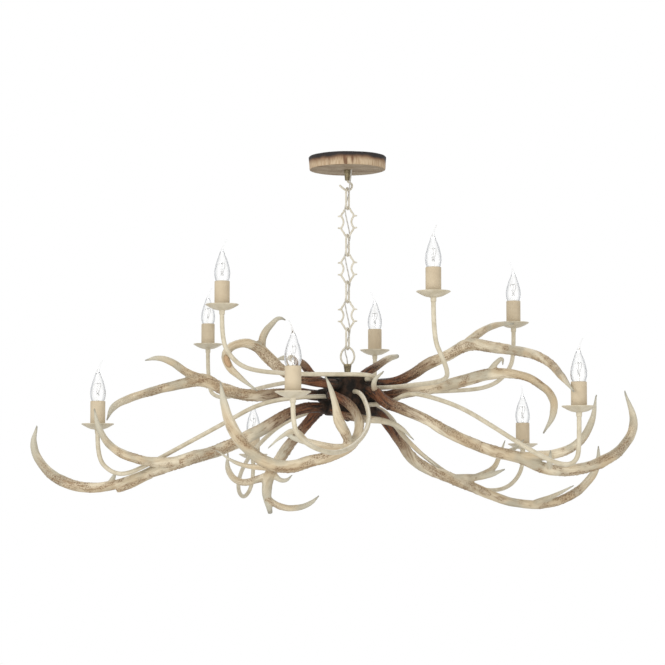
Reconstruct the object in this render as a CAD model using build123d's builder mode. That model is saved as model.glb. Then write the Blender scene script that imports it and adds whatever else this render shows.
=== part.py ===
"""Antler chandelier with ten candle lights, hung on a short chain from a slice of wood.

Millimetres, +Z up. The origin is where the chain axis meets the ceiling. The viewer
stands on the -Y side, so a point with a smaller y is nearer.
"""
from math import ceil, cos, pi, radians, sin, tan

from build123d import *
import os

os.makedirs("parts", exist_ok=True)

# ---- Driving dimensions -------------------------------------------------------------

running_gap = 0.3          # between pieces that touch but are not joined
thread_gap = 0.2           # all round a rod in its hole
end_gap = 0.5              # before the end of a rod

# wood slice at the ceiling and what it hides
rose_top_radius = 88
rose_bottom_radius = 86
rose_height = 30
recess_radius = 66
recess_depth = 20
strap_length = 120
strap_width = 22
strap_thickness = 3
slot_spacing = 90
slot_length = 16
slot_width = 5
rose_edge = 1.5            # small bevel where it meets the ceiling
rod_radius = 4             # threaded tube, used at the ceiling and through the hub
rod_bore = 2.4
lock_nut_radius = 8
lock_nut_height = 5
collar_top_radius = 8
collar_bottom_radius = 5.5
collar_height = 24
collar_bore_depth = 12

# chain
wire_radius = 2.25
plain_length = 53          # over the wire
plain_width = 29.5
thorny_length = 72
thorny_waist = 23
thorny_shoulder = 33
shoulder_height = 28       # between the upper and lower thorns
thorn_reach = 23           # from the chain axis to a thorn's tip
plain_heading = 75         # directions of the two kinds of link, seen from above
thorny_heading = -15
hook_depth = 22            # from the collar to the axis of the wire where link 1 hangs
loop_width = 36
loop_height = 40           # from the loop's top to the shoulder of its nipple
nipple_top_radius = 9
nipple_bottom_radius = 6.4
nipple_height = 25
flex_radius = 1.5
flex_side_step = 4.6       # how far the flex stands off each crossing of two links
flex_first_step = 7.5      # the same at the hook
flex_beside = 7            # half the height along which it runs beside a crossing
flex_heading = 307
flex_hole_offset = 15
flex_hole_gap = 1
flex_tail = 4              # how far its end stands inside the recess
flex_bend = 0.45           # share of the shorter run that a bend may use
nipple_bore_depth = 14
thorn_tip = 1.2

# hub
hub_radius = 52
hub_height = 88
hub_wall = 3
washer_radius = 15
washer_thickness = 3
finial_radius = 11
finial_height = 14
finial_floor = 4           # solid metal below the rod
collar_depth = 6           # how far a collar stands out of the barrel
collar_wall = 1.6
root_depth = 6             # how far an antler's root enters the barrel
beam_step = 50             # distance between two sections of an antler's beam
tine_step = 55

# candle arms
arm_radius = 5
arm_reach = 6              # how far an arm enters the hub
arm_bend = 0.42            # share of the shorter run that a bend may use
stud_radius = 4            # threaded end of an arm
stud_height = 16

# candle lights, heights from the rim of the drip pan
pan_radius = 36
pan_floor = 12             # depth of the bowl
pan_flat = 17.3            # radius of the bowl's flat floor
pan_sheet = 2
pan_rim = 1.4              # spun thinner towards the rim
pan_boss_height = 9
pan_boss_radius = 9
sleeve_radius = 16.5
sleeve_wall = 1.5
sleeve_top = 50
holder_radius = 12.5
holder_top = 36
cap_radius = 7             # screw cap of the bulb
cap_length = 24
bulb_radius = 17.5
bulb_length = 103
bulb_bend = 9              # how far the drawn-out tip leans

# sides of the polygons that stand for round sections
wire_sides = 8
thorn_sides = 4
flex_sides = 6
rod_sides = 8
small_sides = 12
rose_sides = 30
hub_sides = 20
beam_sides = 7
tine_sides = 6
arm_sides = 6
bend_step = 26             # degrees between two sections of a bend
pan_sides = 14
sleeve_sides = 12
holder_sides = 8
bulb_sides = 8

# ---- Heights that follow ------------------------------------------------------------

collar_top = -rose_height
collar_bottom = collar_top - collar_height
hook_bottom = collar_bottom - hook_depth
link_seat = 2 * wire_radius + running_gap

plain_drop = plain_length - 2 * wire_radius - link_seat
thorny_drop = thorny_length - 2 * wire_radius - link_seat

hinge_heights = [hook_bottom]
for drop in (plain_drop, thorny_drop) * 3 + (plain_drop,):
    hinge_heights.append(hinge_heights[-1] - drop)

loop_top = hinge_heights[-1] + link_seat
nipple_top = loop_top - loop_height + wire_radius
nipple_bottom = nipple_top - nipple_height
rod_seat = nipple_bottom + nipple_bore_depth
hub_top = nipple_bottom - washer_thickness
hub_bottom = hub_top - hub_height

UP = Vector(0, 0, 1)


# ---- Shared forms -------------------------------------------------------------------

def radial(heading):
    """Unit vector from the axis, heading in degrees from +X towards +Y."""
    return Vector(cos(radians(heading)), sin(radians(heading)), 0)


def on_hub(heading, level, distance):
    """Point at a distance from the axis, level measured down from the hub's top."""
    return radial(heading) * distance + UP * (hub_top - level)


def square_to(direction, side):
    """The part of side that is square to direction, as a unit vector."""
    return (side - direction * side.dot(direction)).normalized()


def polygon_ring(centre, direction, side, radius, sides):
    """Corners of a regular polygon square to direction, the first one towards side."""
    plane = Plane(origin=centre, x_dir=side, z_dir=direction)
    ring = []
    for corner in range(sides):
        turn = 2 * pi * corner / sides
        ring.append(plane.from_local_coords(Vector(radius * cos(turn), radius * sin(turn), 0)))
    return ring


def faceted_run(centres, directions, radii, sides, side, mode=Mode.ADD):
    """Solid with flat facets through regular polygons that do not twist along the way."""
    rings = []
    for centre, direction, radius in zip(centres, directions, radii):
        side = square_to(direction, side)
        rings.append(polygon_ring(centre, direction, side, radius, sides))
    skin = [Face(Wire.make_polygon(ring)) for ring in (rings[0], rings[-1])]
    for lower, upper in zip(rings, rings[1:]):
        for corner in range(sides):
            a, b = lower[corner - 1], lower[corner]
            c, d = upper[corner], upper[corner - 1]
            skin.append(Face(Wire.make_polygon([a, b, c])))
            skin.append(Face(Wire.make_polygon([a, c, d])))
    add(Solid(Shell(skin)), mode=mode)


def upright_run(foot, steps, sides, mode=Mode.ADD):
    """Turned form with flat facets on a vertical axis, from steps of (height, radius)."""
    centres = [foot + UP * height for height, radius in steps]
    radii = [radius for height, radius in steps]
    faceted_run(centres, [UP] * len(centres), radii, sides, Vector(1, 0, 0), mode)


def bend_radii(points, share):
    """Largest radius at each corner that uses only a share of the shorter run."""
    radii = []
    for before, here, after in zip(points, points[1:], points[2:]):
        turn = radians((here - before).get_angle(after - here))
        shorter = min((here - before).length, (after - here).length)
        radii.append(share * shorter / tan(turn / 2))
    return radii


def bent_tube(points, share, radius, sides, side):
    """Tube along straight runs and tangent arcs, each arc in steps of bend_step degrees."""
    with BuildLine(mode=Mode.PRIVATE) as bends:
        FilletPolyline(*points, radius=bend_radii(points, share))
    path = bends.wire()
    marks = [0]
    for edge in path.order_edges():
        count = 1
        if edge.geom_type == GeomType.CIRCLE:
            count = ceil(edge.length / edge.radius / radians(bend_step))
        start = marks[-1]
        marks += [start + edge.length * i / count for i in range(1, count + 1)]
    centres = [path.position_at(mark / path.length) for mark in marks]
    directions = [path.tangent_at(mark / path.length) for mark in marks]
    faceted_run(centres, directions, [radius] * len(marks), sides, side)
    return path.length


def bent_wire(centres, side):
    """Wire of the chain through hand-placed points, all in the plane square to side."""
    directions = []
    for i in range(len(centres)):
        before = centres[max(i - 1, 0)]
        after = centres[min(i + 1, len(centres) - 1)]
        directions.append((after - before).normalized())
    directions[0] = square_to(UP, directions[0])
    directions[-1] = square_to(UP, directions[-1])
    faceted_run(centres, directions, [wire_radius] * len(centres), wire_sides, side)


def link_half(outline, heading, middle, sign):
    """One side of a closed link, from the top of its plane to the bottom."""
    along = radial(heading) * sign
    centres = [along * u + UP * (middle + v) for u, v in outline]
    bent_wire(centres, radial(heading + 90))


def bone(stations, sides, step, root=()):
    """Tapered antler beam or tine through stations (x, y, z, radius)."""
    points = [Vector(*station[:3]) for station in stations]
    lengths = [0]
    for here, there in zip(points, points[1:]):
        lengths.append(lengths[-1] + (there - here).length)
    spine = Spline(*points, mode=Mode.PRIVATE)
    count = max(3, round(lengths[-1] / step))
    centres = [point for point, direction, radius in root]
    directions = [direction for point, direction, radius in root]
    radii = [radius for point, direction, radius in root]
    for i in range(1 if root else 0, count + 1):
        share = i / count
        k = max(j for j in range(len(points) - 1) if lengths[j] <= share * lengths[-1] + 0.001)
        part_way = (share * lengths[-1] - lengths[k]) / (lengths[k + 1] - lengths[k])
        radii.append(stations[k][3] * (1 - part_way) + stations[k + 1][3] * part_way)
        centres.append(spine.position_at(share))
        directions.append(spine.tangent_at(share))
    faceted_run(centres, directions, radii, sides, UP)


def save(part, name):
    part.label = name
    export_step(part, f"parts/{name}.step")


# ---- Ceiling: strap, wood slice, threaded tube, collar, hook --------------------------

with BuildPart() as mounting_strap:
    with BuildSketch(Plane.XY.offset(-strap_thickness)):
        Rectangle(strap_length, strap_width)
        with GridLocations(slot_spacing, 0, 2, 1):
            SlotOverall(slot_length, slot_width, mode=Mode.SUBTRACT)
        RegularPolygon(rod_radius + thread_gap, rod_sides, mode=Mode.SUBTRACT)
    extrude(amount=strap_thickness)
save(mounting_strap.part, "mounting_strap")

flex_hole = radial(flex_heading) * flex_hole_offset
with BuildPart() as ceiling_rose:
    upright_run(Vector(0, 0, 0), [
        (-rose_height, rose_bottom_radius),
        (-rose_edge, rose_top_radius),
        (0, rose_top_radius - rose_edge),
    ], rose_sides)
    with BuildSketch(Plane.XY.offset(-recess_depth)):
        RegularPolygon(recess_radius, rose_sides)
    extrude(amount=recess_depth, mode=Mode.SUBTRACT)
    with BuildSketch(Plane.XY.offset(-rose_height)):
        RegularPolygon(rod_radius + thread_gap, rod_sides)
        with Locations((flex_hole.X, flex_hole.Y)):
            RegularPolygon(flex_radius + flex_hole_gap, rod_sides)
    extrude(amount=rose_height - recess_depth, mode=Mode.SUBTRACT)
save(ceiling_rose.part, "ceiling_rose")

with BuildPart() as canopy_tube:
    with BuildSketch(Plane.XY.offset(collar_top - collar_bore_depth)):
        RegularPolygon(rod_radius, rod_sides)
    extrude(amount=-collar_top + collar_bore_depth - end_gap)
    with BuildSketch(Plane.XY.offset(-strap_thickness - lock_nut_height)):
        RegularPolygon(lock_nut_radius, 6)
    extrude(amount=lock_nut_height)
    with BuildSketch(Plane.XY.offset(collar_top - collar_bore_depth)):
        RegularPolygon(rod_bore, rod_sides)
    extrude(amount=-collar_top + collar_bore_depth, mode=Mode.SUBTRACT)
save(canopy_tube.part, "canopy_tube")

with BuildPart() as collar:
    upright_run(Vector(0, 0, 0), [
        (collar_bottom, collar_bottom_radius),
        (collar_top - 3, collar_top_radius),
        (collar_top, collar_top_radius),
    ], small_sides)
    with BuildSketch(Plane.XY.offset(collar_top)):
        RegularPolygon(rod_radius + thread_gap, rod_sides)
    extrude(amount=-collar_bore_depth, mode=Mode.SUBTRACT)
save(collar.part, "collar")

with BuildPart() as hook:
    neck = collar_bottom
    hook_outline = [
        (0, neck), (1.2, neck - 3), (6, neck - 5), (10, neck - 9), (10.5, neck - 13.5),
        (8.5, neck - 18), (5, hook_bottom + 0.6), (0, hook_bottom), (-5, hook_bottom + 1),
        (-12, hook_bottom + 6), (-18, hook_bottom + 12),
    ]
    centres = [Vector(x, 0, z) for x, z in hook_outline]
    directions = [-UP]
    for before, after in zip(centres, centres[2:]):
        directions.append((after - before).normalized())
    directions.append((centres[-1] - centres[-2]).normalized())
    faceted_run(centres, directions, [wire_radius] * len(centres), wire_sides, Vector(0, 1, 0))
save(hook.part, "hook")

# ---- Chain ----------------------------------------------------------------------------

plain_half = (plain_width - 2 * wire_radius) / 2
plain_straight = plain_length / 2 - wire_radius - plain_half
plain_outline = []
for turn in (90, 60, 30, 0):
    across, up = plain_half * cos(radians(turn)), plain_half * sin(radians(turn))
    plain_outline.append((across, plain_straight + up))
plain_outline += [(u, -v) for u, v in reversed(plain_outline)]

thorny_half_height = thorny_length / 2 - wire_radius
shoulder = thorny_shoulder / 2 - wire_radius
waist = thorny_waist / 2 - wire_radius
waist_share = 0.35
thorny_outline = [
    (0, thorny_half_height),
    (wire_radius * 1.6, thorny_half_height - 1.5),
    (shoulder, shoulder_height / 2),
    (waist + (shoulder - waist) * waist_share, shoulder_height / 4),
    (waist, 0),
]
thorny_outline += [(u, -v) for u, v in reversed(thorny_outline[:-1])]

for number in range(1, 5):
    hinge = hinge_heights[2 * (number - 1)]
    middle = hinge + link_seat - (plain_length / 2 - wire_radius)
    with BuildPart() as plain_link:
        for sign in (1, -1):
            link_half(plain_outline, plain_heading, middle, sign)
    save(plain_link.part, f"plain_link_{number}")

for number in range(1, 4):
    hinge = hinge_heights[2 * number - 1]
    middle = hinge + link_seat - thorny_half_height
    with BuildPart() as thorny_link:
        for sign in (1, -1):
            link_half(thorny_outline, thorny_heading, middle, sign)
            along = radial(thorny_heading) * sign
            for end in (1, -1):
                foot = along * (shoulder - 1) + UP * (middle + end * shoulder_height / 2)
                tip = along * thorn_reach + UP * (middle + end * (shoulder_height / 2 - 1))
                point = (tip - foot).normalized()
                faceted_run([foot, tip], [point] * 2, [wire_radius, thorn_tip], thorn_sides, UP)
    save(thorny_link.part, f"thorny_link_{number}")

with BuildPart() as top_loop:
    loop_half = loop_width / 2 - wire_radius
    loop_outline = [
        (0, loop_top), (loop_half * 0.4, loop_top - 2.5), (loop_half * 0.75, loop_top - 8),
        (loop_half * 0.96, loop_top - 16), (loop_half, loop_top - 23),
        (loop_half * 0.82, loop_top - 31), (nipple_top_radius - 2, nipple_top - 2),
    ]
    for sign in (1, -1):
        link_half(loop_outline, thorny_heading, 0, sign)
    upright_run(Vector(0, 0, 0), [
        (nipple_bottom, nipple_bottom_radius),
        (nipple_top - 3, nipple_top_radius),
        (nipple_top, nipple_top_radius - 1),
    ], small_sides)
    with BuildSketch(Plane.XY.offset(nipple_bottom)):
        RegularPolygon(rod_radius + thread_gap, rod_sides)
    extrude(amount=nipple_bore_depth, mode=Mode.SUBTRACT)
    with BuildSketch(Plane.XY.offset(nipple_bottom)):
        RegularPolygon(rod_bore, rod_sides)
    extrude(amount=nipple_height, mode=Mode.SUBTRACT)
save(top_loop.part, "top_loop")

# ---- Flex through the chain: straight runs joined by tangent arcs ----------------------

first_side = radial(flex_heading) * flex_first_step
flex_points = [flex_hole - UP * (recess_depth - flex_tail)]
flex_points.append(flex_hole - UP * (rose_height + flex_tail))
for number, height in enumerate(hinge_heights):
    side = (radial(plain_heading) + radial(thorny_heading)) * flex_side_step
    if number == 0:
        side = first_side
    elif number % 2:
        side = side * -1
    flex_points.append(side + UP * (height + flex_beside))
    flex_points.append(side + UP * (height - flex_beside))
flex_points.append(UP * (nipple_top + 9) + radial(flex_heading) * 0.3)
flex_points.append(UP * (rod_seat + 2 * end_gap))
print("flex bends", [round(radius, 1) for radius in bend_radii(flex_points, flex_bend)])

with BuildPart() as flex:
    flex_length = bent_tube(flex_points, flex_bend, flex_radius, flex_sides, radial(0))
print("flex length", round(flex_length, 1))
save(flex.part, "flex")

# ---- Candle positions: foot of each light as x, y, rim height; lean of the bulb's tip --

candles = {
    1: (-555, -70, -608, 20),
    2: (-273, -196, -353, -15),
    3: (-345, 460, -395, 10),
    4: (-112, -558, -557, 200),
    5: (-233, 506, -669, 90),
    6: (69, 335, -418, 185),
    7: (177, -340, -338, 40),
    8: (390, 155, -365, 215),
    9: (476, -366, -579, 10),
    10: (426, 322, -646, 250),
}

# Each arm as bent by hand: heading and level of its hole in the hub, how far it runs
# straight out of the hole, then its bends on the way to the candle.
arms = {
    1: (206, 46, 95, [
        (-192, -42, -559), (-274, -48, -606), (-369, -58, -658), (-436, -79, -696),
        (-491, -80, -722), (-526, -78, -715), (-547, -74, -684),
    ]),
    2: (323, 8, 80, [
        (46, -74, -499), (-28, -78, -499), (-106, -101, -500), (-188, -144, -497),
        (-229, -171, -488), (-254, -185, -467), (-270, -194, -433),
    ]),
    3: (110, 23, 100, [
        (-110, 146, -501), (-203, 260, -512), (-273, 367, -530), (-323, 441, -531),
        (-343, 459, -504),
    ]),
    4: (287, 36, 88, [
        (42, -171, -572), (45, -251, -611), (28, -337, -645), (0, -412, -669),
        (-31, -476, -679), (-63, -519, -672), (-91, -545, -656), (-106, -556, -631),
    ]),
    5: (112, 63, 100, [
        (-145, 146, -594), (-218, 260, -656), (-251, 342, -702), (-265, 392, -737),
        (-266, 433, -764), (-256, 470, -779), (-242, 494, -764), (-234, 506, -732),
    ]),
    6: (80, 48, 120, [
        (45, 211, -551), (61, 297, -550), (69, 334, -517),
    ]),
    7: (340, 27, 108, [
        (138, -144, -526), (183, -230, -525), (208, -283, -519), (207, -312, -502),
        (195, -330, -476), (183, -339, -436),
    ]),
    8: (20, 36, 110, [
        (249, 105, -528), (313, 129, -522), (352, 142, -506), (378, 151, -478),
        (388, 154, -447),
    ]),
    9: (332, 65, 102, [
        (133, -101, -540), (184, -139, -552), (246, -187, -577), (306, -235, -617),
        (374, -291, -665), (423, -328, -694), (453, -350, -702), (470, -360, -693),
        (476, -365, -668),
    ]),
    10: (40, 63, 110, [
        (134, 121, -641), (206, 178, -699), (280, 236, -745), (338, 277, -760),
        (381, 303, -755), (410, 317, -733), (424, 321, -700),
    ]),
}

# Each antler: heading, level and radius of its root, the main beam as (x, y, z, radius),
# then its tines, which start inside the beam.
antlers = {
    1: (204, 71, 12.5, [
        (-115, -50, -578, 12.5), (-190, -60, -620, 14.5), (-280, -75, -665, 14),
        (-370, -85, -692, 15), (-470, -55, -728, 12), (-525, -35, -745, 11),
        (-580, -28, -750, 12), (-640, -20, -735, 12.5), (-685, -12, -700, 10),
        (-706, -6, -655, 8.5), (-700, 0, -610, 2),
    ], [
        [(-350, -82, -688, 10), (-410, -99, -694, 12), (-470, -110, -685, 11),
         (-520, -123, -658, 9), (-545, -131, -618, 7), (-556, -131, -576, 1.8)],
        [(-535, -33, -747, 8), (-525, -28, -730, 6), (-518, -24, -712, 1.8)],
    ]),
    2: (178, 43, 13, [
        (-118, 16, -537, 13), (-160, 35, -539, 13.5), (-220, 60, -540, 13.5),
        (-282, 82, -526, 14), (-335, 91, -504, 16), (-383, 90, -513, 12),
        (-448, 70, -531, 10), (-498, 38, -549, 9.5), (-530, 12, -570, 8),
        (-543, -6, -600, 1.8),
    ], [
        [(-322, 90, -507, 12), (-370, 101, -486, 10), (-409, 114, -460, 9),
         (-441, 126, -451, 6.5), (-472, 137, -456, 1.8)],
    ]),
    3: (232, 43, 11, [
        (-28, -72, -547, 11), (-2, -92, -563, 11), (20, -112, -592, 10), (22, -144, -630, 10.5),
        (2, -178, -660, 12), (-35, -198, -680, 12), (-80, -208, -692, 13),
        (-130, -217, -704, 14), (-175, -221, -694, 13.5), (-220, -230, -661, 12.5),
        (-249, -238, -618, 13), (-265, -244, -570, 9), (-273, -249, -523, 2),
    ], [
        [(2, -178, -655, 9), (-6, -196, -632, 11), (-20, -203, -606, 12),
         (-27, -208, -575, 8), (-37, -212, -540, 6), (-50, -215, -508, 1.8)],
        [(-10, -185, -664, 9), (-45, -208, -662, 9.5), (-85, -223, -652, 8),
         (-115, -232, -644, 6), (-138, -240, -634, 1.8)],
        [(-88, -221, -650, 5), (-116, -234, -628, 6), (-142, -240, -640, 4.5),
         (-172, -243, -666, 1.6)],
        [(-125, -217, -704, 8), (-185, -214, -706, 6.5), (-235, -206, -698, 5),
         (-286, -198, -668, 1.6)],
    ]),
    4: (246, 20, 11, [
        (-48, -68, -519, 11.5), (-84, -56, -512, 12), (-118, -30, -501, 12.5), (-148, -14, -487, 13.5), (-180, -10, -456, 14),
        (-212, -10, -430, 12), (-245, -24, -428, 9.5), (-272, -42, -450, 10),
        (-266, -52, -478, 9.5), (-240, -54, -505, 6.5), (-200, -54, -536, 1.8),
    ], [
        [(-195, -9, -438, 10), (-190, 8, -406, 9), (-172, 18, -380, 7),
         (-155, 25, -366, 5), (-140, 32, -370, 1.8)],
    ]),
    5: (148, 68, 12, [
        (-104, 83, -618, 12.5), (-134, 125, -653, 13), (-159, 164, -687, 13.5),
        (-183, 203, -725, 14), (-189, 218, -762, 12), (-181, 234, -813, 6),
    ], [
        [(-177, 199, -718, 9), (-211, 216, -732, 9), (-252, 234, -738, 8.5),
         (-280, 251, -714, 7.5), (-284, 260, -664, 1.8)],
        [(-187, 219, -778, 8), (-155, 229, -797, 8), (-117, 224, -799, 7.5),
         (-86, 215, -788, 6), (-65, 207, -770, 1.8)],
        [(-177, 200, -722, 7), (-147, 193, -735, 5.5), (-127, 182, -721, 1.6)],
    ]),
    6: (135, 18, 11, [
        (-78, 72, -497, 11), (-104, 93, -466, 10), (-138, 121, -451, 8.5),
        (-168, 152, -453, 2),
    ], []),
    7: (68, 18, 11, [
        (38, 90, -492, 11), (67, 123, -471, 9.5), (97, 169, -450, 8.5),
        (120, 215, -441, 5.5),
    ], []),
    8: (8, 18, 12.5, [
        (110, -2, -512, 12.5), (145, -8, -496, 13), (182, -10, -472, 13),
        (225, -10, -453, 12.5), (270, -12, -430, 14), (320, -55, -437, 13),
        (365, -123, -449, 11.5), (399, -187, -461, 10.5), (426, -257, -483, 10),
        (444, -328, -515, 8), (461, -410, -553, 2),
    ], [
        [(262, -12, -434, 11), (296, 8, -403, 9.5), (338, 40, -381, 7.5),
         (384, 82, -374, 2.5)],
    ]),
    9: (352, 51, 12.5, [
        (125, -16, -538, 13), (170, -26, -531, 13), (220, -36, -521, 13.5),
        (270, -42, -509, 14), (320, -52, -497, 13), (385, -65, -501, 10),
        (425, -76, -521, 9), (452, -84, -550, 9), (454, -91, -585, 8.5),
        (430, -97, -632, 2),
    ], [
        [(315, -52, -494, 8), (334, -56, -470, 6), (343, -64, -464, 4.5),
         (344, -76, -480, 1.6)],
    ]),
    10: (316, 34, 12.5, [
        (62, -66, -541, 14), (84, -82, -561, 14.5), (128, -99, -580, 12),
        (170, -104, -599, 12), (215, -114, -626, 12.5), (265, -139, -651, 12.5),
        (315, -168, -671, 12.5), (364, -189, -683, 13), (434, -196, -710, 12.5),
        (489, -187, -710, 12.5), (554, -168, -691, 12.5), (599, -146, -660, 11),
        (625, -125, -612, 10), (610, -101, -536, 2),
    ], [
        [(359, -187, -682, 10), (409, -206, -681, 11), (449, -220, -675, 10.5),
         (491, -232, -653, 9.5), (517, -239, -612, 8), (529, -243, -550, 1.8)],
        [(310, -166, -672, 7), (350, -155, -670, 6), (387, -123, -644, 1.8)],
        [(431, -196, -708, 8), (430, -224, -694, 6.5), (429, -253, -669, 1.8)],
        [(66, -69, -545, 8), (58, -78, -518, 6.5), (80, -89, -492, 2)],
    ]),
    11: (22, 76, 12, [
        (100, 48, -618, 12), (121, 70, -645, 12.5), (148, 100, -682, 13),
        (189, 129, -709, 13), (237, 154, -728, 13), (288, 178, -748, 13),
        (356, 208, -776, 11), (409, 226, -789, 10.5), (466, 237, -791, 10.5),
        (526, 239, -773, 11), (572, 234, -736, 10), (593, 229, -698, 8),
        (596, 225, -652, 2),
    ], [
        [(244, 157, -730, 10), (303, 177, -727, 8.5), (340, 183, -720, 7),
         (372, 188, -708, 2)],
        [(298, 175, -728, 7), (343, 193, -706, 7), (358, 208, -682, 6),
         (375, 224, -639, 1.8)],
        [(446, 234, -788, 8), (491, 224, -770, 6), (536, 211, -746, 1.8)],
    ]),
    12: (236, 76, 8, [
        (-22, -72, -586, 8.5), (8, -84, -594, 9), (42, -89, -599, 8.5), (78, -89, -603, 7.5),
        (110, -86, -614, 6.5),
        (146, -108, -646, 1.6),
    ], [
        [(100, -86, -608, 5.5), (138, -58, -650, 6), (205, -45, -708, 1.6)],
    ]),
}

# ---- Hub ------------------------------------------------------------------------------

barrel_top = hub_top - hub_wall
root_end = hub_radius - root_depth
collar_mouth = hub_radius + collar_depth

with BuildPart() as hub_barrel:
    with BuildSketch(Plane.XY.offset(hub_bottom)):
        RegularPolygon(hub_radius, hub_sides)
    extrude(amount=barrel_top - hub_bottom)
    for heading, level, root_radius, beam, tines in antlers.values():
        outward = radial(heading)
        start = Plane(on_hub(heading, level, hub_radius - hub_wall), x_dir=UP, z_dir=outward)
        with BuildSketch(start):
            RegularPolygon(root_radius + running_gap + collar_wall, beam_sides)
        extrude(amount=collar_mouth - hub_radius + hub_wall)
    for heading, level, root_radius, beam, tines in antlers.values():
        outward = radial(heading)
        inside = Plane(on_hub(heading, level, root_end), x_dir=UP, z_dir=outward)
        with BuildSketch(inside):
            RegularPolygon(root_radius + running_gap, beam_sides)
        extrude(amount=collar_mouth - root_end, mode=Mode.SUBTRACT)
    with BuildSketch(Plane.XY.offset(hub_bottom + hub_wall)):
        RegularPolygon(hub_radius - hub_wall, hub_sides)
    extrude(amount=barrel_top - hub_bottom - hub_wall, mode=Mode.SUBTRACT)
    with BuildSketch(Plane.XY.offset(hub_bottom)):
        RegularPolygon(rod_radius + thread_gap, rod_sides)
    extrude(amount=hub_wall, mode=Mode.SUBTRACT)
    for heading, level, straight, bends in arms.values():
        outward = radial(heading)
        inside = Plane(on_hub(heading, level, hub_radius - 2 * hub_wall), x_dir=UP, z_dir=outward)
        with BuildSketch(inside):
            RegularPolygon(arm_radius + thread_gap, arm_sides)
        extrude(amount=4 * hub_wall, mode=Mode.SUBTRACT)
save(hub_barrel.part, "hub_barrel")

with BuildPart() as hub_lid:
    with BuildSketch(Plane.XY.offset(barrel_top)):
        RegularPolygon(hub_radius, hub_sides)
        RegularPolygon(rod_radius + thread_gap, rod_sides, mode=Mode.SUBTRACT)
    extrude(amount=hub_wall)
save(hub_lid.part, "hub_lid")

with BuildPart() as hub_washer:
    with BuildSketch(Plane.XY.offset(hub_top)):
        RegularPolygon(washer_radius, small_sides)
        RegularPolygon(rod_radius + thread_gap, rod_sides, mode=Mode.SUBTRACT)
    extrude(amount=washer_thickness)
save(hub_washer.part, "hub_washer")

rod_end = hub_bottom - finial_height + finial_floor
with BuildPart() as centre_rod:
    with BuildSketch(Plane.XY.offset(rod_end)):
        RegularPolygon(rod_radius, rod_sides)
        RegularPolygon(rod_bore, rod_sides, mode=Mode.SUBTRACT)
    extrude(amount=rod_seat - rod_end)
save(centre_rod.part, "centre_rod")

with BuildPart() as finial:
    upright_run(Vector(0, 0, 0), [
        (hub_bottom - finial_height, 3),
        (hub_bottom - finial_height + 3, finial_radius * 0.7),
        (hub_bottom - 4, finial_radius),
        (hub_bottom, finial_radius),
    ], small_sides)
    with BuildSketch(Plane.XY.offset(rod_end)):
        RegularPolygon(rod_radius + thread_gap, rod_sides)
    extrude(amount=hub_bottom - rod_end, mode=Mode.SUBTRACT)
save(finial.part, "finial")

# ---- Antlers --------------------------------------------------------------------------

for number, (heading, level, root_radius, beam, tines) in antlers.items():
    outward = radial(heading)
    tenon = [
        (on_hub(heading, level, root_end), outward, root_radius),
        (on_hub(heading, level, collar_mouth + 2), outward, root_radius),
    ]
    mouth = on_hub(heading, level, collar_mouth + 2)
    first = (mouth.X, mouth.Y, mouth.Z, root_radius)
    with BuildPart() as antler:
        bone([first] + beam, beam_sides, beam_step, root=tenon)
        for tine in tines:
            bone(tine, tine_sides, tine_step)
    save(antler.part, f"antler_{number}")

# ---- Candle arms ----------------------------------------------------------------------

for number, (heading, level, straight, bends) in arms.items():
    x, y, rim, lean = candles[number]
    top = Vector(x, y, rim - pan_floor - pan_sheet - pan_boss_height)
    route = [on_hub(heading, level, hub_radius - hub_wall - arm_reach)]
    route.append(on_hub(heading, level, straight))
    route += [Vector(*bend) for bend in bends] + [top]
    last = route[-2]
    route[-2] = Vector(x, y, last.Z)
    with BuildPart() as arm:
        bent_tube(route, arm_bend, arm_radius, arm_sides, UP)
        with BuildSketch(Plane(origin=top)):
            RegularPolygon(stud_radius, rod_sides)
        extrude(amount=stud_height)
    save(arm.part, f"arm_{number}")

# ---- Drip pans, lampholders, sleeves, bulbs ---------------------------------------------

pan_foot = -pan_floor - pan_sheet - pan_boss_height

# height from the rim, radius
pan_outside = [
    (pan_foot, arm_radius + 1), (-17, pan_boss_radius), (-pan_floor - pan_sheet, 17.5),
    (-9, 25.5), (-4, 32), (-0.7, pan_radius), (0, pan_radius),
]
pan_inside = [
    (-pan_floor, pan_flat), (-7.5, 24.5), (-2.5, 31.5), (0, pan_radius - pan_rim),
]

with BuildPart() as drip_pans:
    for x, y, rim, lean in candles.values():
        middle = Vector(x, y, rim)
        upright_run(middle, pan_outside, pan_sides)
        upright_run(middle, pan_inside, pan_sides, mode=Mode.SUBTRACT)
        with BuildSketch(Plane(origin=middle + UP * pan_foot)):
            RegularPolygon(stud_radius + thread_gap, rod_sides)
        extrude(amount=pan_boss_height + pan_sheet, mode=Mode.SUBTRACT)
save(drip_pans.part, "drip_pans")

with BuildPart() as lampholders:
    for x, y, rim, lean in candles.values():
        with BuildSketch(Plane(origin=(x, y, rim - pan_floor))):
            RegularPolygon(holder_radius, holder_sides)
        extrude(amount=pan_floor + holder_top)
        with BuildSketch(Plane(origin=(x, y, rim - pan_floor))):
            RegularPolygon(stud_radius + thread_gap, rod_sides)
        extrude(amount=stud_height - pan_boss_height - pan_sheet, mode=Mode.SUBTRACT)
        with BuildSketch(Plane(origin=(x, y, rim + holder_top))):
            RegularPolygon(cap_radius + running_gap, holder_sides)
        extrude(amount=-cap_length, mode=Mode.SUBTRACT)
save(lampholders.part, "lampholders")

with BuildPart() as candle_sleeves:
    for x, y, rim, lean in candles.values():
        with BuildSketch(Plane(origin=(x, y, rim - pan_floor))):
            RegularPolygon(sleeve_radius, sleeve_sides)
            RegularPolygon(sleeve_radius - sleeve_wall, sleeve_sides, mode=Mode.SUBTRACT)
        extrude(amount=pan_floor + sleeve_top)
save(candle_sleeves.part, "candle_sleeves")

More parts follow.
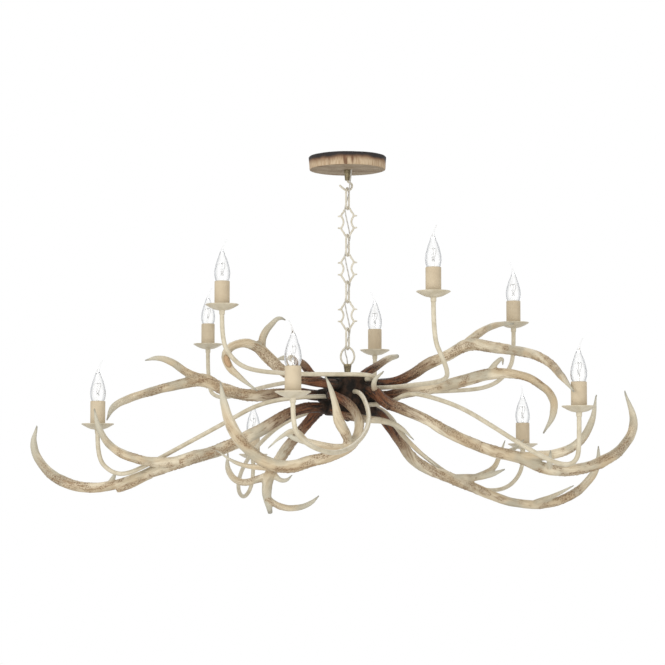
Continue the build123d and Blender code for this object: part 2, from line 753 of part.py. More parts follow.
with BuildPart() as bulb_caps:
    for x, y, rim, lean in candles.values():
        with BuildSketch(Plane(origin=(x, y, rim + holder_top - cap_length))):
            RegularPolygon(cap_radius, holder_sides)
        extrude(amount=cap_length + 1)
save(bulb_caps.part, "bulb_caps")

# share of the bulb's length, share of its greatest radius, share of the tip's lean
bulb_outline = [
    (0, 0.38, 0), (0.06, 0.58, 0), (0.16, 0.84, 0), (0.27, 1, 0), (0.42, 0.88, 0),
    (0.58, 0.62, 0), (0.74, 0.35, 0.08), (0.88, 0.18, 0.4), (1, 0.06, 1),
]
for number, (x, y, rim, lean) in candles.items():
    foot = Vector(x, y, rim + holder_top + 1)
    with BuildPart() as bulb:
        centres = []
        for height, girth, drift in bulb_outline:
            centres.append(foot + UP * (height * bulb_length) + radial(lean) * (drift * bulb_bend))
        radii = [girth * bulb_radius for height, girth, drift in bulb_outline]
        faceted_run(centres, [UP] * len(centres), radii, bulb_sides, radial(0))
    save(bulb.part, f"bulb_{number}")
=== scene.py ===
"""Looks of an antler chandelier with ten candle lights on a short thorny chain.

Metres, in the row's frame: the origin is where the chain's axis meets the ceiling, +Z is up
and the viewer stands on the -Y side. Sizes written in millimetres say so.
"""
from math import atan2, cos, pi, radians, sin

import bpy
import numpy as np
from mathutils import Matrix, Vector, noise


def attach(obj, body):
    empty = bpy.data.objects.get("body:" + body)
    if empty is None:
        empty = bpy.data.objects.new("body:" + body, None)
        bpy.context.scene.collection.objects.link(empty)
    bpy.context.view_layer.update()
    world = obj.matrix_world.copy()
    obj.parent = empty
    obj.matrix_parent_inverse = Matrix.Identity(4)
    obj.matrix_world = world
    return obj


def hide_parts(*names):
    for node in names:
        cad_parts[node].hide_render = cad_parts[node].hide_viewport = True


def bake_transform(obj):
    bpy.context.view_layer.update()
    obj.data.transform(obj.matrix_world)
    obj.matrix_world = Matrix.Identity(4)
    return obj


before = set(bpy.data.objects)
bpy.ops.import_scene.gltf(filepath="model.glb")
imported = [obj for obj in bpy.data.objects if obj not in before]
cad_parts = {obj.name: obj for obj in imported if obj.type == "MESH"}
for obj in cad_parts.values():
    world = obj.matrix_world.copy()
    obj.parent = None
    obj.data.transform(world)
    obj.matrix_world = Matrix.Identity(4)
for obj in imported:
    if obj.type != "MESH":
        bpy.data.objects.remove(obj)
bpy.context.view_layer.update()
bpy.ops.object.select_all(action="DESELECT")

# ---- The room: a camera at the viewer's place, a pale floor far below the fixture, and soft
# studio light. The walls are white and so far away that only their colour is seen.

bpy.ops.object.camera_add(location=(-0.034, -4.4, -0.722), rotation=(radians(94.18), 0, 0))
camera = bpy.context.object
camera.name = "viewer"
camera.data.sensor_width = 36
camera.data.lens = 105.56
camera.data.clip_end = 40
bpy.context.scene.camera = camera
bpy.context.scene.view_settings.view_transform = "Standard"

room = bpy.data.worlds.new("white_room")
bpy.context.scene.world = room
room.use_nodes = True
wires = room.node_tree
wires.nodes.clear()
rays = wires.nodes.new("ShaderNodeLightPath")
white_rays = rays.outputs["Is Camera Ray"]
for kind in ("Is Transmission Ray", "Is Glossy Ray"):
    either = wires.nodes.new("ShaderNodeMath")
    either.operation = "MAXIMUM"
    wires.links.new(white_rays, either.inputs[0])
    wires.links.new(rays.outputs[kind], either.inputs[1])
    white_rays = either.outputs[0]
walls = wires.nodes.new("ShaderNodeMixShader")
wires.links.new(white_rays, walls.inputs[0])
warm_light, pure_white = ((1, 0.99, 0.97, 1), 0.62), ((1, 1, 1, 1), 1)
for side, (colour, strength) in ((1, warm_light), (2, pure_white)):
    wall = wires.nodes.new("ShaderNodeBackground")
    wall.inputs["Color"].default_value = colour
    wall.inputs["Strength"].default_value = strength
    wires.links.new(wall.outputs[0], walls.inputs[side])
outdoors = wires.nodes.new("ShaderNodeOutputWorld")
wires.links.new(walls.outputs[0], outdoors.inputs["Surface"])

for name, place, target, size, power in [
    ("window_light", (-2.2, -2.6, 1.0), (0, 0, -0.55), 2.2, 43),
    ("fill_light", (2.8, -2.2, -0.4), (0, 0, -0.55), 2.6, 22),
    ("low_light", (-0.4, -2.6, -1.5), (0, 0, -0.5), 2.0, 25),
    ("back_light", (0.6, 2.6, 2.5), (0, 0, -0.5), 2.4, 38),
]:
    bpy.ops.object.light_add(type="AREA", location=place)
    lamp = bpy.context.object
    lamp.name = name
    lamp.data.shape = "DISK"
    lamp.data.size = size
    lamp.data.energy = power
    aim = Vector(target) - Vector(place)
    lamp.rotation_mode = "QUATERNION"
    lamp.rotation_quaternion = aim.to_track_quat("-Z", "Y")

bpy.ops.mesh.primitive_plane_add(size=7, location=(0, 0, -1.62))
floor = bpy.context.object
floor.name = "floor"
floor_paint = bpy.data.materials.new("pale_floor")
floor_paint.use_nodes = True
floor_shader = floor_paint.node_tree.nodes["Principled BSDF"]
floor_shader.inputs["Base Color"].default_value = (0.9, 0.9, 0.89, 1)
floor_shader.inputs["Roughness"].default_value = 0.7
floor.data.materials.append(floor_paint)

# ---- Antlers: twelve cast resin antlers with brown pearled beams, dark roots plugged into the
# hub's sockets and pale worn tips. Each is one casting: a beam with its tines, cured and
# then stained and wiped by hand, so the stain stays in the pits and furrows.


def finish_nodes(name):
    """A new node material with its tree, its Principled shader and its Object coordinates."""
    material = bpy.data.materials.new(name)
    material.use_nodes = True
    tree = material.node_tree
    body = tree.nodes.new("ShaderNodeTexCoord").outputs["Object"]
    return material, tree, tree.nodes["Principled BSDF"], body


def blended(tree, amount, low, high):
    """Colour socket that goes from low to high with amount; each is a socket or a value."""
    mix = tree.nodes.new("ShaderNodeMix")
    mix.data_type = "RGBA"
    for socket, value in ((mix.inputs["Factor"], amount), (mix.inputs[6], low), (mix.inputs[7], high)):
        if isinstance(value, bpy.types.NodeSocket):
            tree.links.new(value, socket)
        elif isinstance(value, tuple):
            socket.default_value = (*value, 1)
        else:
            socket.default_value = value
    return mix.outputs[2]


def ranged(tree, value, low, high, to_low=0.0, to_high=1.0):
    """Number socket that maps value from low..high to another range, clamped."""
    step = tree.nodes.new("ShaderNodeMapRange")
    step.interpolation_type = "SMOOTHSTEP"
    tree.links.new(value, step.inputs["Value"])
    for key, number in (("From Min", low), ("From Max", high), ("To Min", to_low), ("To Max", to_high)):
        step.inputs[key].default_value = number
    return step.outputs[0]


def cloud(tree, place, scale, detail, rough=0.55):
    """Noise socket read at a place socket."""
    spots = tree.nodes.new("ShaderNodeTexNoise")
    spots.inputs["Scale"].default_value = scale
    spots.inputs["Detail"].default_value = detail
    spots.inputs["Roughness"].default_value = rough
    tree.links.new(place, spots.inputs["Vector"])
    return spots.outputs["Fac"]


def reckoned(tree, how, first, second):
    """Result of a math node on two sockets or numbers."""
    sum_up = tree.nodes.new("ShaderNodeMath")
    sum_up.operation = how
    sum_up.use_clamp = True
    for socket, value in zip(sum_up.inputs, (first, second)):
        if isinstance(value, bpy.types.NodeSocket):
            tree.links.new(value, socket)
        else:
            socket.default_value = value
    return sum_up.outputs[0]


def read_attribute(tree, name, output="Fac"):
    """Socket that reads one of the mesh's own attributes."""
    reader = tree.nodes.new("ShaderNodeAttribute")
    reader.attribute_name = name
    return reader.outputs[output]


def coated(tree, shader, tone, roughness):
    """Gives a shader its colour and its roughness, both sockets."""
    tree.links.new(tone, shader.inputs["Base Color"])
    tree.links.new(roughness, shader.inputs["Roughness"])


def raised(tree, shader, height, distance, strength=1.0, under=None):
    """Bump on a shader from a height socket, over another bump if one is given."""
    bump = tree.nodes.new("ShaderNodeBump")
    bump.inputs["Distance"].default_value = distance
    bump.inputs["Strength"].default_value = strength
    tree.links.new(height, bump.inputs["Height"])
    if under is not None:
        tree.links.new(under, bump.inputs["Normal"])
    tree.links.new(bump.outputs["Normal"], shader.inputs["Normal"])
    return bump.outputs["Normal"]


bone_pale = (0.73, 0.645, 0.485)
bone_tan = (0.565, 0.455, 0.30)
shade_grey_green = (0.44, 0.405, 0.31)
furrow_brown = (0.34, 0.235, 0.135)
pit_brown = (0.165, 0.085, 0.04)
root_red = (0.155, 0.06, 0.026)
root_dark = (0.038, 0.015, 0.008)
root_black = (0.010, 0.007, 0.006)
tip_ivory = (0.56, 0.525, 0.42)
tip_grey = (0.25, 0.235, 0.19)
worn_orange = (0.50, 0.33, 0.19)

antler_stain, tree, shader, body = finish_nodes("antler_stain")
grain = read_attribute(tree, "grain", "Vector")
root = read_attribute(tree, "root")
tip = read_attribute(tree, "tip")
pearled = read_attribute(tree, "pearled")
worn = read_attribute(tree, "worn")
broad = cloud(tree, grain, 55, 3)
furrows = cloud(tree, grain, 230, 4, 0.6)
pearls = cloud(tree, body, 430, 2, 0.5)
side_shade_patches = cloud(tree, body, 15, 2)
tone = blended(tree, ranged(tree, broad, 0.36, 0.64), bone_pale, bone_tan)
# grey-green patches laid at random over the beams are painted side shading
tone = blended(tree, ranged(tree, side_shade_patches, 0.46, 0.64, 0, 0.8), tone, shade_grey_green)
# stain left in the furrows, but for the worn tips, and deeper where the beam is pearled
unworn = ranged(tree, tip, 0.1, 0.75, 1.0, 0.0)
lines = reckoned(tree, "MULTIPLY", ranged(tree, furrows, 0.50, 0.66, 0, 0.85), unworn)
lines = reckoned(tree, "MULTIPLY", lines, ranged(tree, pearled, 0.0, 1.0, 0.45, 1.0))
tone = blended(tree, lines, tone, furrow_brown)
tone = blended(tree, reckoned(tree, "MULTIPLY", pearled, 0.36), tone, furrow_brown)
dotted = ranged(tree, pearled, 0.1, 0.9, 0.0, 0.78)
dots = reckoned(tree, "MULTIPLY", ranged(tree, pearls, 0.50, 0.60), dotted)
tone = blended(tree, dots, tone, pit_brown)
tone = blended(tree, ranged(tree, tip, 0.35, 0.9), tone, tip_ivory)
tone = blended(tree, ranged(tree, tip, 0.86, 1.0, 0, 0.75), tone, tip_grey)
# the root is dipped dark, with a ragged edge and flakes through which the bone tone shows
tatters = reckoned(tree, "MULTIPLY", reckoned(tree, "SUBTRACT", furrows, 0.5), 0.8)
ragged = reckoned(tree, "ADD", root, tatters)
tone = blended(tree, ranged(tree, ragged, 0.30, 0.62, 0, 0.8), tone, pit_brown)
root_tone = blended(tree, ranged(tree, furrows, 0.40, 0.62), root_red, root_dark)
tone = blended(tree, ranged(tree, ragged, 0.52, 0.76), tone, root_tone)
tone = blended(tree, ranged(tree, ragged, 0.82, 1.0), tone, root_black)
flaking = ranged(tree, ragged, 0.35, 0.6)
flakes = reckoned(tree, "MULTIPLY", ranged(tree, pearls, 0.53, 0.64, 0, 0.55), flaking)
flakes = reckoned(tree, "MULTIPLY", flakes, ranged(tree, root, 0.5, 0.8, 1, 0.15))
tone = blended(tree, flakes, tone, bone_tan)
tone = blended(tree, ranged(tree, worn, 0.05, 0.35), tone, furrow_brown)
tone = blended(tree, ranged(tree, worn, 0.35, 0.7), tone, worn_orange)
coated(tree, shader, tone, ranged(tree, furrows, 0.3, 0.7, 0.7, 0.5))
shader.inputs["Specular IOR Level"].default_value = 0.2
rough_skin = raised(tree, shader, furrows, 0.0014, 0.6)
raised(tree, shader, pearls, 0.0009, 0.45, rough_skin)

# in m: height of the hub's top, and how far from the axis a root ends and its collar opens
hub_top = -0.49985
root_end = 0.046
collar_mouth = 0.058


def from_hub(heading, level, distance):
    """Point at a distance from the axis in m, at a level in mm below the hub's top."""
    turn = radians(heading)
    return Vector((distance * cos(turn), distance * sin(turn), hub_top - level / 1000))


def centreline(stations, name):
    """Smooth tapered curve through stations (x, y, z, radius), all in mm."""
    curve = bpy.data.curves.new(name, "CURVE")
    curve.dimensions = "3D"
    curve.resolution_u = 8
    spline = curve.splines.new("BEZIER")
    spline.bezier_points.add(len(stations) - 1)
    for point, (x, y, z, r) in zip(spline.bezier_points, stations):
        point.co = (x / 1000, y / 1000, z / 1000)
        point.radius = r
        point.handle_left_type = point.handle_right_type = "AUTO"
    line = bpy.data.objects.new(name, curve)
    bpy.context.collection.objects.link(line)
    bpy.context.view_layer.update()
    return line


def finished_line(line):
    """Points and radii along a centreline, read from the curve before it is thickened."""
    plain = bpy.data.meshes.new_from_object(line.evaluated_get(bpy.context.evaluated_depsgraph_get()))
    points = np.array([v.co for v in plain.vertices], float)
    marks = line.data.splines[0].bezier_points
    step = line.data.resolution_u
    radii = []
    for i in range(len(points)):
        k, share = divmod(i, step)
        after = marks[min(k + 1, len(marks) - 1)].radius
        radii.append(marks[k].radius * (1 - share / step) + after * share / step)
    bpy.data.meshes.remove(plain)
    return points, np.array(radii) / 1000


# a web fills the crotch of each tine thicker than webbed_from mm; it starts on the beam and ends
# on the tine at these multiples of the tine's radius
webbed_from = 6.5
web_on_beam, web_on_tine = 2.1, 2.5


def fork_web(beam, tine):
    """Short sagging line from the beam to the tine, with its radii, in mm."""
    foot, out = Vector(tine[0][:3]), Vector(tine[1][:3])
    along = (out - foot).normalized()
    k = min(range(len(beam)), key=lambda i: (Vector(beam[i][:3]) - foot).length)
    before, after = Vector(beam[max(k - 1, 0)][:3]), Vector(beam[min(k + 1, len(beam) - 1)][:3])
    way = (after - before).normalized()
    if way.dot(along) < 0:
        way = -way
    size = tine[0][3]
    on_beam = foot + way * size * web_on_beam
    on_tine = foot + along * min(size * web_on_tine, (out - foot).length)
    middle = (on_beam + on_tine) * 0.42 + foot * 0.16
    return [(*on_beam, size * 0.75), (*middle, size * 0.66), (*on_tine, size * 0.7)]


def fused(piece, voxel, rounds):
    """Melts a piece's overlapping forms into one skin and softens the joins."""
    skin = piece.modifiers.new("skin", "REMESH")
    skin.mode = "VOXEL"
    skin.voxel_size = voxel
    skin.use_smooth_shade = True
    soft = piece.modifiers.new("soft", "SMOOTH")
    soft.iterations = rounds
    bpy.context.view_layer.objects.active = piece
    piece.select_set(True)
    for step in ("skin", "soft"):
        bpy.ops.object.modifier_apply(modifier=step)


def painted(piece, paint):
    """Gives a piece its one material."""
    piece.data.materials.clear()
    piece.data.materials.append(paint)


def measured(lines):
    """Points along a beam and its tines: place, radius, way from the root, way to the tip, heading."""
    places, radii, from_root, to_tip, ways = [], [], [], [], []
    for line in lines:
        points, thick = finished_line(line)
        run = np.r_[0, np.cumsum(np.linalg.norm(np.diff(points, axis=0), axis=1))]
        if places:
            run += from_root[0][np.argmin(np.linalg.norm(places[0] - points[0], axis=1))]
        places.append(points)
        radii.append(thick)
        from_root.append(run)
        to_tip.append(run[-1] - run)
        way = np.gradient(points, axis=0)
        ways.append(way / np.linalg.norm(way, axis=1)[:, None])
    return [np.concatenate(column) for column in (places, radii, from_root, to_tip, ways)]


def cast_skin(number, lines):
    """One skin over all the lines of an antler; their radii are in mm."""
    for line in lines:
        line.data.bevel_depth = 0.001
        line.data.bevel_resolution = 3
        line.data.use_fill_caps = True
        line.select_set(True)
    bpy.context.view_layer.objects.active = lines[0]
    bpy.ops.object.convert(target="MESH")
    if len(bpy.context.selected_objects) > 1:
        bpy.ops.object.join()
    antler = bpy.context.object
    antler.name = antler.data.name = f"antler_casting_{number}"
    fused(antler, voxel=0.0019, rounds=7)
    return antler


def nearest_centres(skin_points, centres, radii):
    """For each point of the skin, which centre's ball it lies closest to."""
    batch = 4000
    nearest = np.zeros(len(skin_points), int)
    for i in range(0, len(skin_points), batch):
        apart = np.linalg.norm(skin_points[i:i + batch, None] - centres[None], axis=2)
        nearest[i:i + batch] = np.argmin(apart - radii[None], axis=1)
    return nearest


# cast-in marks, all in mm: a tine's broken base, and a spot rubbed bare, given by its centre,
# its direction, and its half length and half width
broken_stubs = {1: [
    [(-436, -60, -721, 9), (-484, -48, -743, 9), (-508, -42, -752, 8.5), (-515, -40, -755, 7)],
]}
worn_spots = {4: [((-268, -59, -468), (10, -4, -26), 19, 10.5)]}
worn_depth = 0.0009

# relief as shares of the radius, with the scale of its noise, and how far in m the dark root
# reaches out and the smooth and pale parts of a tip reach back
furrow_depth, furrow_scale = 0.08, 210
swell_depth, swell_scale = 0.09, 30
pearl_depth, pearl_scale = 0.15, 250
patch_scale = 60
stain_reach = {3: 0.21, 9: 0.18, 12: 0.16}
usual_stain_reach = 0.26
smooth_tip = 0.10
pale_tip = 0.13


def grown_antler(number, heading, level, root_radius, beam, tines):
    """One antler as one skin over its beam and tines, with its furrows, pearls and stain."""
    foot = from_hub(heading, level, root_end + 0.0005) * 1000
    mouth = from_hub(heading, level, collar_mouth + 0.002) * 1000
    start = [(*foot, root_radius - 0.6), (*mouth, root_radius - 0.2)]
    lines = [centreline(start + beam, "line")]
    lines += [centreline(tine, "line") for tine in tines]
    forks = [tine for tine in tines if tine[0][3] > webbed_from]
    webs = [centreline(fork_web(beam, tine), "web") for tine in forks]
    centres, radii, from_root, to_tip, ways = measured(lines)
    stubs = [centreline(stub, "stub") for stub in broken_stubs.get(number, [])]
    antler = cast_skin(number, lines + webs + stubs)

    skin_points = np.array([v.co for v in antler.data.vertices], float)
    normals = np.array([v.normal for v in antler.data.vertices], float)
    nearest = nearest_centres(skin_points, centres, radii)
    off = skin_points - centres[nearest]
    way = ways[nearest]
    ahead = np.sum(off * way, axis=1)
    off = off - way * ahead[:, None]
    r, s, t = radii[nearest], from_root[nearest] + ahead, to_tip[nearest] - ahead
    grain = off * (0.012 / np.maximum(r, 0.004))[:, None]
    grain = grain + np.outer(s * 0.14, (1, 0.3, 0.7)) + number * 0.37

    sculpt, pearled = np.zeros(len(s)), np.zeros(len(s))
    for i, place in enumerate(grain):
        patch = noise.noise(Vector(skin_points[i] * patch_scale))
        pearled[i] = noise.noise(Vector(place * 62)) + 0.5 * patch
    pearled = np.clip((pearled + 0.12) / 0.38, 0, 1) * np.clip(t / smooth_tip - 0.5, 0, 1)
    for i, place in enumerate(grain):
        furrow = furrow_depth * noise.noise(Vector(place * furrow_scale))
        swell = swell_depth * noise.noise(Vector(skin_points[i] * swell_scale + number))
        pearl = pearl_depth * max(0, noise.noise(Vector(skin_points[i] * pearl_scale + number)))
        sculpt[i] = (furrow + swell + pearl * pearled[i]) * r[i]
    sculpt *= np.clip(t / smooth_tip, 0.12, 1) * np.clip((s - 0.012) / 0.02, 0, 1)

    worn = np.zeros(len(s))
    for centre, lengthwise, half_length, half_width in worn_spots.get(number, []):
        aside = skin_points - np.array(centre) / 1000
        lengthwise = np.array(lengthwise) / np.linalg.norm(lengthwise)
        run = aside @ lengthwise
        across = np.linalg.norm(aside - np.outer(run, lengthwise), axis=1)
        spread = np.hypot(run / (half_length / 1000), across / (half_width / 1000))
        worn = np.maximum(worn, 1 - spread ** 2)
        sculpt -= worn_depth * np.clip(worn * 3, 0, 1)
    skin_points += normals * sculpt[:, None]
    antler.data.vertices.foreach_set("co", skin_points.astype(np.float32).ravel())

    reach = stain_reach.get(number, usual_stain_reach)
    marks = {
        "root": np.clip(1.0 - (s - 0.008) / reach, 0, 1) * np.clip(t / 0.08, 0, 1),
        "tip": np.clip(1.0 - t / pale_tip, 0, 1),
        "pearled": pearled,
        "worn": np.clip(worn, 0, 1),
    }
    for key, value in marks.items():
        mark = antler.data.attributes.new(key, "FLOAT", "POINT")
        mark.data.foreach_set("value", value.astype(np.float32))
    mark = antler.data.attributes.new("grain", "FLOAT_VECTOR", "POINT")
    mark.data.foreach_set("vector", grain.astype(np.float32).ravel())
    bpy.ops.object.shade_smooth()
    painted(antler, antler_stain)
    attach(antler, "fixture")
    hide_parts(f"antler_{number}")
    bpy.ops.object.select_all(action="DESELECT")


# heading, level and radius of the root, then the beam and its tines as (x, y, z, radius) in mm
antlers = {
    1: (204, 71, 12.5, [
        (-115, -50, -578, 12.5), (-190, -60, -620, 14.5), (-280, -75, -665, 14),
        (-370, -85, -692, 15), (-470, -55, -728, 12), (-525, -35, -745, 11),
        (-580, -28, -750, 12), (-640, -20, -735, 12.5), (-685, -12, -700, 10),
        (-706, -6, -655, 8.5), (-700, 0, -610, 2),
    ], [
        [(-350, -82, -688, 10), (-410, -99, -694, 12), (-470, -110, -685, 11),
         (-520, -123, -658, 9), (-545, -131, -618, 7), (-556, -131, -576, 1.8)],
        [(-535, -33, -747, 8), (-525, -28, -730, 6), (-518, -24, -712, 1.8)],
    ]),
    2: (178, 43, 13, [
        (-118, 16, -537, 13), (-160, 35, -539, 13.5), (-220, 60, -540, 13.5),
        (-282, 82, -526, 14), (-335, 91, -504, 16), (-383, 90, -513, 12),
        (-448, 70, -531, 10), (-498, 38, -549, 9.5), (-530, 12, -570, 8),
        (-543, -6, -600, 1.8),
    ], [
        [(-322, 90, -507, 12), (-370, 101, -486, 10), (-409, 114, -460, 9),
         (-441, 126, -451, 6.5), (-472, 137, -456, 1.8)],
    ]),
    3: (232, 43, 11, [
        (-28, -72, -547, 11), (-2, -92, -563, 11), (20, -112, -592, 10), (22, -144, -630, 10.5),
        (2, -178, -660, 12), (-35, -198, -680, 12), (-80, -208, -692, 13),
        (-130, -217, -704, 14), (-175, -221, -694, 13.5), (-220, -230, -661, 12.5),
        (-249, -238, -618, 13), (-265, -244, -570, 9), (-273, -249, -523, 2),
    ], [
        [(2, -178, -655, 9), (-6, -196, -632, 11), (-20, -203, -606, 12),
         (-27, -208, -575, 8), (-37, -212, -540, 6), (-50, -215, -508, 1.8)],
        [(-10, -185, -664, 9), (-45, -208, -662, 9.5), (-85, -223, -652, 8),
         (-115, -232, -644, 6), (-138, -240, -634, 1.8)],
        [(-88, -221, -650, 5), (-116, -234, -628, 6), (-142, -240, -640, 4.5),
         (-172, -243, -666, 1.6)],
        [(-125, -217, -704, 8), (-185, -214, -706, 6.5), (-235, -206, -698, 5),
         (-286, -198, -668, 1.6)],
    ]),
    4: (246, 20, 11, [
        (-48, -68, -519, 11.5), (-84, -56, -512, 12), (-118, -30, -501, 12.5),
        (-148, -14, -487, 13.5), (-180, -10, -456, 14),
        (-212, -10, -430, 12), (-245, -24, -428, 9.5), (-272, -42, -450, 10),
        (-266, -52, -478, 9.5), (-240, -54, -505, 6.5), (-200, -54, -536, 1.8),
    ], [
        [(-195, -9, -438, 10), (-190, 8, -406, 9), (-172, 18, -380, 7),
         (-155, 25, -366, 5), (-140, 32, -370, 1.8)],
    ]),
    5: (148, 68, 12, [
        (-104, 83, -618, 12.5), (-134, 125, -653, 13), (-159, 164, -687, 13.5),
        (-183, 203, -725, 14), (-189, 218, -762, 12), (-181, 234, -813, 6),
    ], [
        [(-177, 199, -718, 9), (-211, 216, -732, 9), (-252, 234, -738, 8.5),
         (-280, 251, -714, 7.5), (-284, 260, -664, 1.8)],
        [(-187, 219, -778, 8), (-155, 229, -797, 8), (-117, 224, -799, 7.5),
         (-86, 215, -788, 6), (-65, 207, -770, 1.8)],
        [(-177, 200, -722, 7), (-147, 193, -735, 5.5), (-127, 182, -721, 1.6)],
    ]),
    6: (135, 18, 11, [
        (-78, 72, -497, 11), (-104, 93, -466, 10), (-138, 121, -451, 8.5),
        (-168, 152, -453, 2),
    ], []),
    7: (68, 18, 11, [
        (38, 90, -492, 11), (67, 123, -471, 9.5), (97, 169, -450, 8.5),
        (120, 215, -441, 5.5),
    ], []),
    8: (8, 18, 12.5, [
        (110, -2, -512, 12.5), (145, -8, -496, 13), (182, -10, -472, 13),
        (225, -10, -453, 12.5), (270, -12, -430, 14), (320, -55, -437, 13),
        (365, -123, -449, 11.5), (399, -187, -461, 10.5), (426, -257, -483, 10),
        (444, -328, -515, 8), (461, -410, -553, 2),
    ], [
        [(262, -12, -434, 11), (296, 8, -403, 9.5), (338, 40, -381, 7.5),
         (384, 82, -374, 2.5)],
    ]),
    9: (352, 51, 12.5, [
        (125, -16, -538, 13), (170, -26, -531, 13), (220, -36, -521, 13.5),
        (270, -42, -509, 14), (320, -52, -497, 13), (385, -65, -501, 10),
        (425, -76, -521, 9), (452, -84, -550, 9), (454, -91, -585, 8.5),
        (430, -97, -632, 2),
    ], [
        [(315, -52, -494, 8), (334, -56, -470, 6), (343, -64, -464, 4.5),
         (344, -76, -480, 1.6)],
    ]),
    10: (316, 34, 12.5, [
        (62, -66, -541, 14), (84, -82, -561, 14.5), (128, -99, -580, 12),
        (170, -104, -599, 12), (215, -114, -626, 12.5), (265, -139, -651, 12.5),
        (315, -168, -671, 12.5), (364, -189, -683, 13), (434, -196, -710, 12.5),
        (489, -187, -710, 12.5), (554, -168, -691, 12.5), (599, -146, -660, 11),
        (625, -125, -612, 10), (610, -101, -536, 2),
    ], [
        [(359, -187, -682, 10), (409, -206, -681, 11), (449, -220, -675, 10.5),
         (491, -232, -653, 9.5), (517, -239, -612, 8), (529, -243, -550, 1.8)],
        [(310, -166, -672, 7), (350, -155, -670, 6), (387, -123, -644, 1.8)],
        [(431, -196, -708, 8), (430, -224, -694, 6.5), (429, -253, -669, 1.8)],
        [(66, -69, -545, 8), (58, -78, -518, 6.5), (80, -89, -492, 2)],
    ]),
    11: (22, 76, 12, [
        (100, 48, -618, 12), (121, 70, -645, 12.5), (148, 100, -682, 13),
        (189, 129, -709, 13), (237, 154, -728, 13), (288, 178, -748, 13),
        (356, 208, -776, 11), (409, 226, -789, 10.5), (466, 237, -791, 10.5),
        (526, 239, -773, 11), (572, 234, -736, 10), (593, 229, -698, 8),
        (596, 225, -652, 2),
    ], [
        [(244, 157, -730, 10), (303, 177, -727, 8.5), (340, 183, -720, 7),
         (372, 188, -708, 2)],
        [(298, 175, -728, 7), (343, 193, -706, 7), (358, 208, -682, 6),
         (375, 224, -639, 1.8)],
        [(446, 234, -788, 8), (491, 224, -770, 6), (536, 211, -746, 1.8)],
    ]),
    12: (236, 76, 8, [
        (-22, -72, -586, 8.5), (8, -84, -594, 9), (42, -89, -599, 8.5), (78, -89, -603, 7.5),
        (110, -86, -614, 6.5), (146, -108, -646, 1.6),
    ], [
        [(100, -86, -608, 5.5), (138, -58, -650, 6), (205, -45, -708, 1.6)],
    ]),
}

for number, (heading, level, root_radius, beam, tines) in antlers.items():
    grown_antler(number, heading, level, root_radius, beam, tines)

# ---- Candle arms: ten steel tubes 10 mm thick, bent by hand, each screwed into the hub at one
# end and carrying a candle light on its threaded other end. They are sprayed a warm cream
# that is rubbed thinner here and there.

cream = (0.62, 0.555, 0.42)
cream_shade = (0.515, 0.45, 0.32)
cream_worn = (0.36, 0.29, 0.19)
cream_paint, tree, shader, body = finish_nodes("cream_paint")
mottle = cloud(tree, body, 55, 4)
flecks = cloud(tree, body, 420, 3, 0.65)
tone = blended(tree, ranged(tree, mottle, 0.38, 0.66), cream, cream_shade)
tone = blended(tree, ranged(tree, flecks, 0.60, 0.72, 0, 0.35), tone, cream_worn)
coated(tree, shader, tone, ranged(tree, mottle, 0.3, 0.7, 0.5, 0.36))
raised(tree, shader, flecks, 0.0004, 0.25)

# foot of each light: x, y, height of its pan's rim in mm, then where the bulb's tip leans
candles = {
    1: (-555, -70, -608, 20),
    2: (-273, -196, -353, -15),
    3: (-345, 460, -395, 10),
    4: (-112, -558, -557, 200),
    5: (-233, 506, -669, 90),
    6: (69, 335, -418, 185),
    7: (177, -340, -338, 40),
    8: (390, 155, -365, 215),
    9: (476, -366, -579, 10),
    10: (426, 322, -646, 250),
}

# heading and level of its hole in the hub, straight run, then its bends, all in mm
arms = {
    1: (206, 46, 95, [
        (-192, -42, -559), (-274, -48, -606), (-369, -58, -658), (-436, -79, -696),
        (-491, -80, -722), (-526, -78, -715), (-547, -74, -684),
    ]),
    2: (323, 8, 80, [
        (46, -74, -499), (-28, -78, -499), (-106, -101, -500), (-188, -144, -497),
        (-229, -171, -488), (-254, -185, -467), (-270, -194, -433),
    ]),
    3: (110, 23, 100, [
        (-110, 146, -501), (-203, 260, -512), (-273, 367, -530), (-323, 441, -531),
        (-343, 459, -504),
    ]),
    4: (287, 36, 88, [
        (42, -171, -572), (45, -251, -611), (28, -337, -645), (0, -412, -669),
        (-31, -476, -679), (-63, -519, -672), (-91, -545, -656), (-106, -556, -631),
    ]),
    5: (112, 63, 100, [
        (-145, 146, -594), (-218, 260, -656), (-251, 342, -702), (-265, 392, -737),
        (-266, 433, -764), (-256, 470, -779), (-242, 494, -764), (-234, 506, -732),
    ]),
    6: (80, 48, 120, [
        (45, 211, -551), (61, 297, -550), (69, 334, -517),
    ]),
    7: (340, 27, 108, [
        (138, -144, -526), (183, -230, -525), (208, -283, -519), (207, -312, -502),
        (195, -330, -476), (183, -339, -436),
    ]),
    8: (20, 36, 110, [
        (249, 105, -528), (313, 129, -522), (352, 142, -506), (378, 151, -478),
        (388, 154, -447),
    ]),
    9: (332, 65, 102, [
        (133, -101, -540), (184, -139, -552), (246, -187, -577), (306, -235, -617),
        (374, -291, -665), (423, -328, -694), (453, -350, -702), (470, -360, -693),
        (476, -365, -668),
    ]),
    10: (40, 63, 110, [
        (134, 121, -641), (206, 178, -699), (280, 236, -745), (338, 277, -760),
        (381, 303, -755), (410, 317, -733), (424, 321, -700),
    ]),
}

arm_radius = 0.005
arm_inner_end = 0.043
pan_depth = 23
stud_radius, stud_length, stud_middle = 4, 16, -15.2


